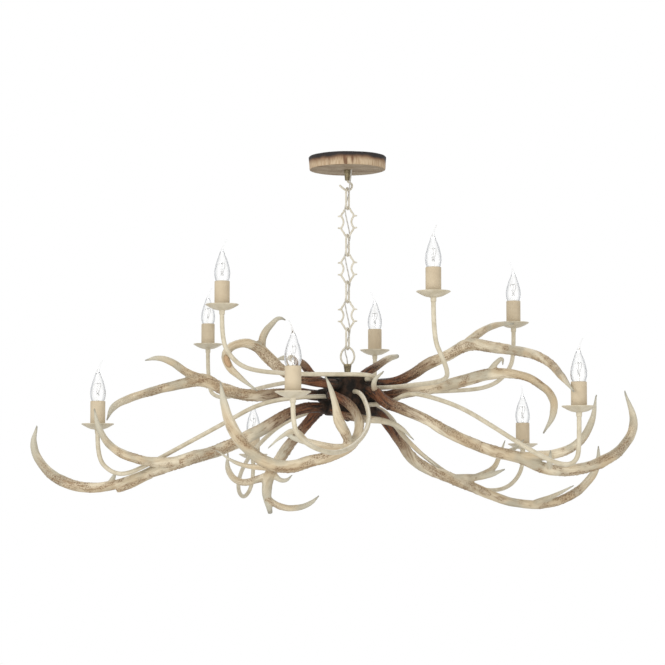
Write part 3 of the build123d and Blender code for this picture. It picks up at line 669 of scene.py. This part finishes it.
def wire_curve(name, runs, radius, steps, side_shade_patches, kind="BEZIER", closed=False):
    """Mesh of round wire along runs of points in m: through them, or pulled by them (NURBS)."""
    curve = bpy.data.curves.new(name, "CURVE")
    curve.dimensions = "3D"
    curve.resolution_u = steps
    curve.bevel_depth = radius
    curve.bevel_resolution = side_shade_patches
    curve.use_fill_caps = True
    for run in runs:
        spline = curve.splines.new(kind)
        if kind == "NURBS":
            spline.points.add(len(run) - 1)
            for point, place in zip(spline.points, run):
                point.co = (*place, 1)
            spline.order_u = 3
            spline.use_endpoint_u = True
        else:
            spline.bezier_points.add(len(run) - 1)
            spline.use_cyclic_u = closed
            for point, place in zip(spline.bezier_points, run):
                point.co = place
                point.handle_left_type = point.handle_right_type = "AUTO"
    wire = bpy.data.objects.new(name, curve)
    bpy.context.collection.objects.link(wire)
    bpy.ops.object.select_all(action="DESELECT")
    bpy.context.view_layer.objects.active = wire
    wire.select_set(True)
    bpy.ops.object.convert(target="MESH")
    return bpy.context.object


def joined(piece, *others):
    """Joins other forms into a piece."""
    for form in (piece, *others):
        form.select_set(True)
    bpy.context.view_layer.objects.active = piece
    bpy.ops.object.join()


for number, (heading, level, straight, bends) in arms.items():
    x, y, rim, lean = candles[number]
    route = [from_hub(heading, level, arm_inner_end), from_hub(heading, level, straight / 1000)]
    route += [Vector(bend) / 1000 for bend in bends[:-1]]
    route.append(Vector((x, y, bends[-1][2])) / 1000)
    route.append(Vector((x, y, rim - pan_depth)) / 1000)
    arm = wire_curve(f"arm_tube_{number}", [route], arm_radius, steps=14, side_shade_patches=5, kind="NURBS")
    bpy.ops.mesh.primitive_cylinder_add(
        vertices=20, radius=stud_radius / 1000, depth=stud_length / 1000,
        location=(x / 1000, y / 1000, (rim + stud_middle) / 1000))
    joined(arm, bpy.context.object)
    bpy.ops.object.shade_smooth_by_angle(angle=radians(40))
    painted(arm, cream_paint)
    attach(arm, "fixture")
    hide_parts(f"arm_{number}")
    bpy.ops.object.select_all(action="DESELECT")

# ---- Drip pans: ten shallow dishes spun from sheet steel, with a stub below that screws onto
# the arm. They carry the same cream paint as the arms.


def turned(name, profile, steps):
    """Solid of revolution about the Z axis from a closed outline of (radius, height) in mm."""
    outline = [(radius / 1000, 0, height / 1000) for radius, height in profile]
    side_shade_patches = [(i, (i + 1) % len(outline)) for i in range(len(outline))]
    if profile[0][0] == 0 and profile[-1][0] == 0:
        side_shade_patches.pop()
    form = bpy.data.meshes.new(name)
    form.from_pydata(outline, side_shade_patches, [])
    piece = bpy.data.objects.new(name, form)
    bpy.context.collection.objects.link(piece)
    bpy.ops.object.select_all(action="DESELECT")
    bpy.context.view_layer.objects.active = piece
    piece.select_set(True)
    bpy.ops.object.mode_set(mode="EDIT")
    bpy.ops.mesh.select_all(action="SELECT")
    bpy.ops.mesh.spin(steps=steps, angle=2 * pi, center=(0, 0, 0), axis=(0, 0, 1))
    bpy.ops.mesh.select_all(action="SELECT")
    bpy.ops.mesh.remove_doubles(threshold=0.00001)
    bpy.ops.mesh.normals_make_consistent(inside=False)
    bpy.ops.object.mode_set(mode="OBJECT")
    bpy.ops.object.shade_smooth_by_angle(angle=radians(35))
    bpy.ops.object.select_all(action="DESELECT")
    return piece


def copies(model, name, places, node=None):
    """Copies of a model, each with its own mesh moved to its place in mm, riding on the fixture."""
    for number, place in places.items():
        copy = bpy.data.objects.new(f"{name}_{number}", model.data.copy())
        copy.data.name = copy.name
        bpy.context.collection.objects.link(copy)
        copy.data.transform(Matrix.Translation(Vector(place) / 1000))
        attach(copy, "fixture")
        if node is not None:
            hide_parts(node)
    bpy.data.objects.remove(model)


rims = {number: (x, y, rim) for number, (x, y, rim, lean) in candles.items()}
pan = turned("drip_pan", [
    (4.3, -22.9), (5.2, -22.9), (5.9, -22.2), (6.1, -20), (6.1, -15.2), (6.8, -13.9), (9, -13.4),
    (14.6, -12.4), (20.5, -10.4), (26.5, -7.5), (31.4, -4.6), (34.2, -3.1), (35.6, -2.2),
    (36.1, -1.2), (35.8, -0.3), (35, 0.1), (34, -0.1), (31.2, -1.9), (26, -5.3), (20.2, -8.6),
    (17.6, -11.3), (16.8, -11.9), (4.3, -11.9),
], 56)
painted(pan, cream_paint)
copies(pan, "pan", rims, "drip_pans")

# ---- Candle sleeves: card tubes with a matt cream coat that slip over the lampholders and stand
# in the pans. The coat has the faint ribs of wound card and faint stains here and there.


def waved(tree, place, scale, distortion, direction="Z"):
    """Number socket of bands that follow each other in a direction."""
    bands = tree.nodes.new("ShaderNodeTexWave")
    bands.bands_direction = direction
    bands.inputs["Scale"].default_value = scale
    bands.inputs["Distortion"].default_value = distortion
    tree.links.new(place, bands.inputs["Vector"])
    return bands.outputs["Fac"]


card, card_shade, card_stain = (0.60, 0.505, 0.36), (0.54, 0.445, 0.31), (0.50, 0.40, 0.26)
sleeve_card, tree, shader, body = finish_nodes("sleeve_card")
fine = cloud(tree, body, 260, 3)
large = cloud(tree, body, 32, 2)
ribs = waved(tree, body, 95, 1.5)
tone = blended(tree, ranged(tree, large, 0.35, 0.7), card, card_shade)
tone = blended(tree, ranged(tree, fine, 0.55, 0.75, 0, 0.3), tone, card_stain)
coated(tree, shader, tone, ranged(tree, fine, 0.3, 0.7, 0.78, 0.62))
shader.inputs["Specular IOR Level"].default_value = 0.25
rough_skin = raised(tree, shader, ribs, 0.0003, 0.12)
raised(tree, shader, fine, 0.0004, 0.2, rough_skin)

sleeve = turned("sleeve", [
    (16.5, -11.8), (16.5, 48.2), (16.3, 49.1), (15.9, 49.7), (15.4, 49.9), (15, 49.7), (14.8, 49),
    (14.8, -11.8),
], 48)
painted(sleeve, sleeve_card)
copies(sleeve, "sleeve", rims, "candle_sleeves")

# ---- Lampholders: moulded cream cups inside the sleeves, screwed onto the arms' threads. Only
# their ribbed rims show, down between the sleeve and the bulb.


def drifting_finish(name, scale, detail, tones, gloss, metallic=0.0, relief=0.0, strength=0.0):
    """Material whose tone, gloss and relief drift together with one cloud."""
    material, tree, shader, body = finish_nodes(name)
    drift = cloud(tree, body, scale, detail)
    coated(tree, shader, blended(tree, drift, *tones), ranged(tree, drift, 0.3, 0.7, *gloss))
    shader.inputs["Metallic"].default_value = metallic
    if relief:
        raised(tree, shader, drift, relief, strength)
    return material


moulded_cream = (0.70, 0.65, 0.53), (0.62, 0.57, 0.45)
holder_moulding = drifting_finish(
    "holder_moulding", 90, 3, moulded_cream, (0.45, 0.3), relief=0.0003, strength=0.15)
holder = turned("lampholder", [
    (4.3, -11.8), (12.3, -11.8), (12.5, -11), (12.5, 24), (12.1, 24.6), (12.1, 26.4), (12.5, 27),
    (12.5, 34.8), (11.9, 35.7), (11, 36), (8.6, 36), (7.6, 35.2), (7.4, 34), (7.4, 12), (4.3, 12),
], 36)
painted(holder, holder_moulding)
copies(holder, "holder", rims, "lampholders")

# ---- Bulbs: clear bent-tip candle bulbs. A thin blown shell narrows to a drawn-out tail, over
# a pinched glass stem with two lead wires and a small filament, on a brass screw cap.

clear_glass, rim_painted_reflection = (0.99, 0.99, 0.985), (0.54, 0.555, 0.58)
bulb_glass, tree, shader, body = finish_nodes("bulb_glass")
edge = tree.nodes.new("ShaderNodeLayerWeight")
edge.inputs["Blend"].default_value = 0.5
facing = edge.outputs["Facing"]
# the glass turns grey and less clear towards its outline: a painted dark reflection at the rim
tone = blended(tree, ranged(tree, facing, 0.1, 0.8), clear_glass, rim_painted_reflection)
tree.links.new(tone, shader.inputs["Base Color"])
tree.links.new(ranged(tree, facing, 0.2, 0.9, 1.0, 0.5), shader.inputs["Transmission Weight"])
shader.inputs["Roughness"].default_value = 0
shader.inputs["IOR"].default_value = 1.45
raised(tree, shader, cloud(tree, body, 60, 2), 0.0006, 0.08)

bright_brass = (0.66, 0.50, 0.25), (0.50, 0.37, 0.17)
dark_nickel = (0.22, 0.21, 0.20), (0.36, 0.34, 0.32)
cap_brass = drifting_finish("cap_brass", 180, 3, bright_brass, (0.22, 0.42), metallic=1)
lead_wire = drifting_finish("lead_wire", 900, 2, dark_nickel, (0.3, 0.5), metallic=0.8)

thread_pitch = 3.2
thread = [(6.4, 13), (7, 14.6)]
for turn in range(5):
    thread += [(6.9, 16 + thread_pitch * turn), (6.3, 17.4 + thread_pitch * turn)]
    thread.append((6.9, 18.6 + thread_pitch * turn))
cap_side = [(0, 12.1), (3.4, 12.1), (4, 12.7)] + thread + [(6.9, 34.2), (6.7, 36.8), (0, 36.8)]
cap = turned("bulb_cap", cap_side, 28)
painted(cap, cap_brass)
copies(cap, "cap", rims, "bulb_caps")

bulb_foot = 37
bulb_bend = 9
tail_foot, tail_length = 62, 41
glass_wall = 0.7
# height and radius up the shell, in mm; the cavity stops where the tail is drawn out
shell_outline = [
    (0, 6.5), (2.5, 7.6), (6, 9.9), (11, 13), (16, 15.3), (22, 16.9), (28, 17.45), (34, 17.3),
    (41, 16.3), (48, 14.6), (55, 12.6), (62, 10.1), (69, 7.3), (75, 4.9), (80, 3.1), (85, 1.95),
    (91, 1.4), (96, 1.1), (99, 1.15), (101, 1.75), (102.6, 1.5),
]
cavity_outline = [(0, 78)]
cavity_outline += [(radius - glass_wall, height) for height, radius in reversed(shell_outline[1:14])]
cavity_outline.append((0, 1.8))
for number, (x, y, rim, lean) in candles.items():
    shell = turned(f"bulb_shell_{number}", [(0, 0)] + [(r, z) for z, r in shell_outline] + [(0, 103)], 36)
    cavity = turned("bulb_cavity", cavity_outline, 36)
    bpy.context.view_layer.objects.active = cavity
    bpy.ops.object.mode_set(mode="EDIT")
    bpy.ops.mesh.select_all(action="SELECT")
    bpy.ops.mesh.flip_normals()
    bpy.ops.object.mode_set(mode="OBJECT")
    joined(shell, cavity)
    bpy.ops.object.select_all(action="DESELECT")
    for v in shell.data.vertices:
        rise = max(0.0, (v.co.z * 1000 - tail_foot) / tail_length)
        away = bulb_bend / 1000 * (rise ** 1.6 - 0.25 * sin(rise * pi))
        v.co.x += away * cos(radians(lean))
        v.co.y += away * sin(radians(lean))
    shell.data.transform(Matrix.Translation(Vector((x, y, rim + bulb_foot)) / 1000))
    painted(shell, bulb_glass)
    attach(shell, "fixture")
    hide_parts(f"bulb_{number}")

bulb_feet = {number: (x, y, rim + bulb_foot) for number, (x, y, rim) in rims.items()}
stem = turned("bulb_stem", [
    (0, 3), (4.6, 3), (4.2, 6), (3, 10), (2.2, 16), (2.4, 22), (2.9, 26), (2.2, 28.5), (0, 29.2),
], 20)
painted(stem, bulb_glass)
copies(stem, "stem", bulb_feet)

filament_lines = [
    [(-1, 0, 24), (-2, 0, 32), (-5.5, 0, 44), (-6.2, 0, 50)],
    [(1, 0, 24), (2, 0, 32), (5.5, 0, 44), (6.2, 0, 50)],
    [(-6.2, 0, 50), (-4, 0.8, 52.5), (-1.5, -0.8, 50.5), (0, 0.8, 53), (1.5, -0.8, 50.5),
     (4, 0.8, 52.5), (6.2, 0, 50)],
    [(0, 0, 27), (0, 0, 40), (0, 0.3, 51)],
]
runs = [[Vector(place) / 1000 for place in run] for run in filament_lines]
filament = wire_curve("filament", runs, 0.0004, steps=5, side_shade_patches=1)
painted(filament, lead_wire)
copies(filament, "filament", bulb_feet)

# ---- Hub: a short welded drum with a collar for each antler's root, closed by a lid and held by
# the threaded tube down its middle. Drum and collars are rough with black putty and paint.

putty_black, putty_brown, putty_chip = (0.010, 0.008, 0.006), (0.040, 0.020, 0.011), (0.075, 0.045, 0.028)
hub_black, tree, shader, body = finish_nodes("hub_black")
lumps = cloud(tree, body, 60, 5, 0.6)
grit = cloud(tree, body, 420, 4, 0.6)
tone = blended(tree, ranged(tree, lumps, 0.42, 0.62), putty_black, putty_brown)
tone = blended(tree, ranged(tree, grit, 0.60, 0.75, 0, 0.5), tone, putty_chip)
coated(tree, shader, tone, ranged(tree, lumps, 0.35, 0.65, 0.8, 0.6))
shader.inputs["Specular IOR Level"].default_value = 0.2
rough_skin = raised(tree, shader, lumps, 0.003, 0.6)
raised(tree, shader, grit, 0.0008, 0.5, rough_skin)

# heights in mm; neighbours keep 0.05 mm from their shared faces
lid_top = hub_top * 1000
drum_top = lid_top - 3
drum_foot = drum_top - 85
washer_top = lid_top + 3
rod_hole = 4.4
putty_foot, putty_top = -0.5855, -0.5050
drum = turned("hub_drum", [
    (0, drum_foot), (50.4, drum_foot), (52, drum_foot + 1.55), (52, drum_top - 1.55),
    (50.9, drum_top - 0.05), (0, drum_top - 0.05),
], 64)
putty = []
for heading, level, root_radius, beam, tines in antlers.values():
    outward = from_hub(heading, level, 1) - from_hub(heading, level, 0)
    bpy.ops.mesh.primitive_cone_add(
        vertices=32, radius1=(root_radius + 4.2) / 1000, radius2=(root_radius + 0.9) / 1000, depth=0.024,
        location=from_hub(heading, level, 0.055), rotation=outward.to_track_quat("Z", "Y").to_euler())
    putty.append(bpy.context.object)
joined(drum, *putty)
fused(drum, voxel=0.0016, rounds=5)
for v in drum.data.vertices:
    if putty_foot < v.co.z < putty_top:
        v.co += v.normal * (0.0011 * noise.noise(v.co * 90) + 0.0006 * noise.noise(v.co * 260))
bpy.ops.object.shade_smooth()
bpy.ops.object.select_all(action="DESELECT")
lid = turned("hub_cover", [
    (rod_hole, drum_top + 0.05), (50.6, drum_top + 0.05), (51.8, drum_top + 0.85), (51.8, lid_top - 1.15),
    (50.6, lid_top - 0.05), (rod_hole, lid_top - 0.05),
], 72)
ring = turned("hub_ring", [
    (rod_hole, lid_top + 0.05), (14.4, lid_top + 0.05), (15, lid_top + 0.65), (15, washer_top - 0.75),
    (14.2, washer_top - 0.05), (rod_hole, washer_top - 0.05),
], 40)
knob_side = [
    (0, -13.95), (2.4, -13.55), (5.2, -12.15), (8.2, -9.15), (10.2, -5.75), (11, -2.75), (10.9, -0.75),
    (10.2, -0.05), (rod_hole, -0.05), (rod_hole, -9.55), (0, -9.75),
]
knob = turned("end_knob", [(radius, drum_foot + below) for radius, below in knob_side], 40)
for piece, node in ((drum, "hub_barrel"), (lid, "hub_lid"), (ring, "hub_washer"), (knob, "finial")):
    painted(piece, hub_black)
    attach(piece, "fixture")
    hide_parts(node)

# ---- Chain: seven links bent from 4.5 mm steel wire and brazed shut, four plain and three with
# thorns, sprayed a pale grey cream. The two kinds hang at right angles to each other.

chain_cream, chain_shade, chain_worn = (0.68, 0.635, 0.53), (0.55, 0.50, 0.39), (0.27, 0.225, 0.155)
chain_paint, tree, shader, body = finish_nodes("chain_paint")
mottle = cloud(tree, body, 140, 4)
wear = cloud(tree, body, 420, 4, 0.65)
tone = blended(tree, ranged(tree, mottle, 0.35, 0.68), chain_cream, chain_shade)
tone = blended(tree, ranged(tree, wear, 0.57, 0.71, 0, 0.6), tone, chain_worn)
coated(tree, shader, tone, ranged(tree, wear, 0.4, 0.7, 0.5, 0.33))
raised(tree, shader, wear, 0.0004, 0.3)

wire_radius = 2.25
# half heights along the wire's middle; each link's top wire sits link_seat above its hinge
plain_width, plain_straight = 12.5, 11.75
plain_height = plain_straight + plain_width
thorny_height = 33.75
plain_heading, thorny_heading = 75, -15
link_seat = 4.8
hinge_heights = [-76]
for number in range(7):
    height = thorny_height if number % 2 else plain_height
    hinge_heights.append(hinge_heights[-1] - 2 * height + link_seat)


def wire_ring(name, outline, closed=True):
    """Round chain wire in the XZ plane through points (x, z) in mm."""
    run = [(across / 1000, 0, up / 1000) for across, up in outline]
    wire = wire_curve(name, [run], wire_radius / 1000, steps=6, side_shade_patches=4, closed=closed)
    bpy.ops.object.shade_smooth()
    return wire


top_arc = []
for angle in (8, 36, 63, 90, 117, 144, 172):
    turn = radians(angle)
    top_arc.append((plain_width * cos(turn), plain_straight + plain_width * sin(turn)))
right_side = [(plain_width, -7), (plain_width, 7)]
plain_ring = top_arc + [(-x, z) for x, z in right_side[::-1]]
plain_ring += [(x, -z) for x, z in top_arc[::-1]] + right_side
plain_link = wire_ring("plain_link", plain_ring)
# the brazed joint is a small lump on the wire, a little longer than wide
braze_radius, braze_height, braze_stretch = 0.00262, 0.003, 1.3
bpy.ops.mesh.primitive_uv_sphere_add(
    segments=20, ring_count=12, radius=braze_radius, location=(plain_width / 1000, 0, braze_height))
bpy.ops.transform.resize(value=(1, 1, braze_stretch))
joined(plain_link, bpy.context.object)
fused(plain_link, voxel=0.00055, rounds=3)

shoulder, waist = 14.25, 9.25
side = [(3.6, thorny_height - 1.5), (9, 23.8), (shoulder, 14.3), (10.9, 7), (waist, 0)]
side += [(10.9, -7), (shoulder, -14.3), (9, -23.8), (3.6, 1.5 - thorny_height), (0, -thorny_height)]
thorny_ring = [(0, thorny_height)] + side + [(-x, z) for x, z in side[-2::-1]]
thorny_link = wire_ring("thorny_link", thorny_ring)
# thorns in m: radius at the root and the tip, length, and how far out and up their middles sit
thorn_root, thorn_tip, thorn_length = 0.0029, 0.0014, 0.0098
thorn_out, thorn_up, thorn_droop = 0.0178, 0.0137, 0.08
for sign in (1, -1):
    for end in (1, -1):
        outward = Vector((sign, 0, -thorn_droop * end)).normalized()
        bpy.ops.mesh.primitive_cone_add(
            vertices=20, radius1=thorn_root, radius2=thorn_tip, depth=thorn_length,
            location=(sign * thorn_out, 0, end * thorn_up),
            rotation=outward.to_track_quat("Z", "Y").to_euler())
        joined(thorny_link, bpy.context.object)
fused(thorny_link, voxel=0.00055, rounds=3)

for number, drop in enumerate(hinge_heights[:7]):
    kind, model, heading, height = "plain", plain_link, plain_heading, plain_height
    if number % 2:
        kind, model, heading, height = "thorny", thorny_link, thorny_heading, thorny_height
    node = f"{kind}_link_{number // 2 + 1}"
    link = bpy.data.objects.new(f"{node}_wire", model.data.copy())
    bpy.context.collection.objects.link(link)
    turn = Matrix.Rotation(radians(heading), 4, "Z")
    link.data.transform(Matrix.Translation((0, 0, (drop + link_seat - height) / 1000)) @ turn)
    painted(link, chain_paint)
    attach(link, f"link_{number + 1}")
    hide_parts(node)
bpy.data.objects.remove(plain_link)
bpy.data.objects.remove(thorny_link)

# ---- Top loop: an oval of the same wire brazed into a small conical brass nipple, which
# screws onto the threaded tube of the hub. The flex goes down through the nipple.

brass_olive, brass_brown = (0.27, 0.225, 0.13), (0.15, 0.12, 0.072)
aged_brass, tree, shader, body = finish_nodes("aged_brass")
tarnish = cloud(tree, body, 120, 4)
tone = blended(tree, ranged(tree, tarnish, 0.35, 0.65), brass_olive, brass_brown)
coated(tree, shader, tone, ranged(tree, tarnish, 0.3, 0.7, 0.35, 0.55))
shader.inputs["Metallic"].default_value = 0.75
raised(tree, shader, tarnish, 0.0004, 0.2)

loop_top = hinge_heights[-1] + link_seat
loop_width = 15.75
nipple_top = washer_top + 25
loop_side = [(loop_width * 0.42, -2.3), (loop_width * 0.76, -8), (loop_width * 0.96, -16)]
loop_side += [(loop_width, -23), (loop_width * 0.84, -31), (7, -39.5)]
loop_line = [(-x, z) for x, z in reversed(loop_side)] + [(0, 0)] + loop_side
top_wire = wire_ring("top_loop_wire", [(x, loop_top + z) for x, z in loop_line], closed=False)
top_wire.data.transform(Matrix.Rotation(radians(thorny_heading), 4, "Z"))
painted(top_wire, chain_paint)
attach(top_wire, "fixture")
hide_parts("top_loop")
nipple_side = [
    (2.5, -1), (7, 0), (8.4, -0.6), (9, -2.4), (9, -4), (8.2, -9), (7.2, -16), (6.5, -23),
    (6.3, -24.8), (4.3, -24.8), (4.3, -11.2), (2.5, -11),
]
nipple = turned("top_nipple", [(radius, nipple_top + below) for radius, below in nipple_side], 36)
painted(nipple, aged_brass)
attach(nipple, "fixture")

# ---- Hook and collar: a conical brass collar screws up against the wood, and a wire hook
# brazed into it bends under the first link, with its free end standing out to the left.

neck = -54
hook_seat = hinge_heights[0]
hook_line = [
    (0, neck + 6), (0.4, neck - 0.6), (2.6, neck - 3.8), (6.4, neck - 5.4), (9.8, neck - 8.8),
    (10.6, neck - 13.4), (8.6, neck - 18), (5, hook_seat + 0.7), (0, hook_seat), (-5, hook_seat + 1),
    (-12, hook_seat + 6), (-18, hook_seat + 11.6),
]
hook = wire_ring("hook_wire", hook_line, closed=False)
painted(hook, chain_paint)
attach(hook, "ceiling")
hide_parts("hook")
collar = turned("collar_cone", [
    (4.3, -30.1), (7.6, -30.1), (8, -30.6), (8, -33), (7.6, -36), (6.9, -42), (6.1, -49),
    (5.6, neck + 1), (5.1, neck + 0.1), (0, neck + 0.1), (0, -42.2), (4.3, -42.2),
], 36)
painted(collar, aged_brass)
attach(collar, "ceiling")
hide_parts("collar")

# ---- Flex: a round clear-sheathed twin flex, 3 mm thick, that wanders down through the chain
# from the wood slice into the nipple. Each length between two links is a piece of its own.

core_grey, sheath_pale = (0.42, 0.40, 0.36), (0.60, 0.57, 0.51)
flex_sheath, tree, shader, body = finish_nodes("flex_sheath")
cores = waved(tree, body, 75, 0.6, "DIAGONAL")
tone = blended(tree, cores, core_grey, sheath_pale)
coated(tree, shader, tone, ranged(tree, cores, 0.0, 1.0, 0.28, 0.4))
raised(tree, shader, cores, 0.0004, 0.2)

flex_radius = 0.0015
exit_heading, exit_distance = 307, 15
beside_wire = 4.6
held_reach, bend_reach = 7, 9


def level_point(heading, distance, height):
    """Point in mm at a distance from the axis, in a heading and at a height."""
    return Vector((distance * cos(radians(heading)), distance * sin(radians(heading)), height))


# out of the wood, by turns on one side and the other of the crossings, and into the nipple
aside = level_point(plain_heading, beside_wire, 0) + level_point(thorny_heading, beside_wire, 0)
flex_route = [level_point(exit_heading, exit_distance, height) for height in (-16, -34)]
for number, height in enumerate(hinge_heights):
    beside = aside * (-1 if number % 2 else 1)
    if number == 0:
        beside = level_point(exit_heading, 7.5, 0)
    flex_route.append(beside + Vector((0, 0, height + held_reach)))
    flex_route.append(beside + Vector((0, 0, height - held_reach)))
flex_route += [level_point(exit_heading, 0.3, nipple_top + 9), Vector((0, 0, -482.4))]
bodies_down = ["ceiling"] + [f"link_{n}" for n in range(1, 8)] + ["fixture"]
for number, height in enumerate(hinge_heights):
    first = 2 + 2 * number
    run = flex_route[first:first + 2]
    run = [(flex_route[first - 1] + run[0]) / 2] + run + [(run[1] + flex_route[first + 2]) / 2]
    if number == 0:
        run = flex_route[:2] + run[1:]
    if number == 7:
        run = run[:-1] + flex_route[-2:]
    run = [place / 1000 for place in run]
    length = wire_curve(f"flex_{number + 1}", [run], flex_radius, steps=10, side_shade_patches=4, kind="NURBS")
    bpy.ops.object.shade_smooth()
    painted(length, flex_sheath)
    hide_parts("flex")
    above, below = bodies_down[number], bodies_down[number + 1]
    start, end = (0, 0, (height + bend_reach) / 1000), (0, 0, (height - bend_reach) / 1000)
    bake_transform(length)
bpy.ops.object.select_all(action="DESELECT")

# ---- Ceiling rose: a slice sawn across the grain of a trunk, hollowed on top for the ceiling
# strap. Its top edge is charred black, its side is split and pale, its face is sawn rough.

side_pale, side_brown, side_split = (0.585, 0.455, 0.305), (0.40, 0.27, 0.16), (0.13, 0.055, 0.025)
face_pale, face_brown, face_ring = (0.47, 0.385, 0.27), (0.25, 0.185, 0.12), (0.21, 0.145, 0.085)
face_band, scorched, charred = (0.205, 0.135, 0.08), (0.17, 0.08, 0.04), (0.024, 0.020, 0.019)
face_height = -0.0288, -0.0297
slice_wood, tree, shader, body = finish_nodes("slice_wood")
heights = tree.nodes.new("ShaderNodeSeparateXYZ")
tree.links.new(body, heights.inputs[0])
stretch = tree.nodes.new("ShaderNodeMapping")
stretch.inputs["Scale"].default_value = (1, 1, 0.16)
tree.links.new(body, stretch.inputs["Vector"])
fibres = cloud(tree, stretch.outputs[0], 260, 5, 0.6)
splits = cloud(tree, stretch.outputs[0], 70, 3, 0.5)
sawn = tree.nodes.new("ShaderNodeMapping")
sawn.inputs["Scale"].default_value = (0.12, 1, 1)
tree.links.new(body, sawn.inputs["Vector"])
saw_lines = cloud(tree, sawn.outputs[0], 330, 4, 0.6)
saw_bands = cloud(tree, sawn.outputs[0], 75, 3, 0.5)
rings = waved(tree, body, 55, 4)
rings.node.wave_type = "RINGS"
rings.node.rings_direction = "Z"
rings.node.inputs["Detail"].default_value = 3
wavy = cloud(tree, body, 19, 4, 0.5)
side_tone = blended(tree, ranged(tree, fibres, 0.35, 0.68), side_pale, side_brown)
side_tone = blended(tree, ranged(tree, splits, 0.58, 0.66, 0, 0.85), side_tone, side_split)
face_tone = blended(tree, ranged(tree, saw_lines, 0.34, 0.66), face_pale, face_brown)
face_tone = blended(tree, ranged(tree, rings, 0.4, 1.0, 0, 0.3), face_tone, face_ring)
face_tone = blended(tree, ranged(tree, saw_bands, 0.46, 0.60, 0, 0.75), face_tone, face_band)
below = ranged(tree, heights.outputs["Z"], *face_height)
tone = blended(tree, below, side_tone, face_tone)
# scorched, then charred, towards the top, along a wavy line
wave = reckoned(tree, "MULTIPLY", reckoned(tree, "SUBTRACT", wavy, 0.30), 0.75)
burnt = reckoned(tree, "ADD", ranged(tree, heights.outputs["Z"], -0.030, 0.002, 0.0, 0.9), wave)
tone = blended(tree, ranged(tree, burnt, 0.20, 0.76, 0, 0.85), tone, scorched)
tone = blended(tree, ranged(tree, burnt, 0.55, 0.88), tone, charred)
coated(tree, shader, tone, ranged(tree, fibres, 0.3, 0.7, 0.8, 0.6))
shader.inputs["Specular IOR Level"].default_value = 0.25
rough_skin = raised(tree, shader, fibres, 0.0008, 0.5)
raised(tree, shader, saw_lines, 0.0006, 0.35, rough_skin)

slice_side = [
    (4.4, -29.9), (20, -29.95), (40, -30), (60, -30), (76, -29.9), (84, -29.6), (85.6, -28.8),
    (86, -26), (86.2, -21), (86.6, -15), (87.1, -9), (87.6, -4), (87.7, -1.4), (86.6, -0.2), (80, 0),
    (66.3, 0), (66, -0.6), (66, -19.4), (65.2, -20), (4.4, -20),
]
recess_reach, recess_floor = 0.07, -0.0205
rose = turned("wood_slice", slice_side, 96)
for v in rose.data.vertices:
    if v.co.x ** 2 + v.co.y ** 2 > recess_reach ** 2 or v.co.z < recess_floor:
        around = Vector((v.co.x * 24, v.co.y * 24, v.co.z * 9))
        turn = atan2(v.co.y, v.co.x)
        out = 1 + 0.014 * noise.noise(around) - 0.012 * abs(noise.noise(around * 2.3))
        out += 0.012 * cos(2 * turn + 0.9)
        v.co.x *= out
        v.co.y *= out
painted(rose, slice_wood)
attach(rose, "ceiling")
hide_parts("ceiling_rose")

# ---- Hidden fixings: the slotted ceiling strap and the two threaded tubes, all zinc-plated
# steel, kept as they come from the frame.

zinc_grey = (0.56, 0.56, 0.54), (0.40, 0.40, 0.38)
plated_steel = drifting_finish(
    "plated_steel", 160, 4, zinc_grey, (0.28, 0.48), metallic=1, relief=0.0003, strength=0.2)
for node in ("mounting_strap", "canopy_tube", "centre_rod"):
    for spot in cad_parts[node].material_slots:
        spot.material = plated_steel
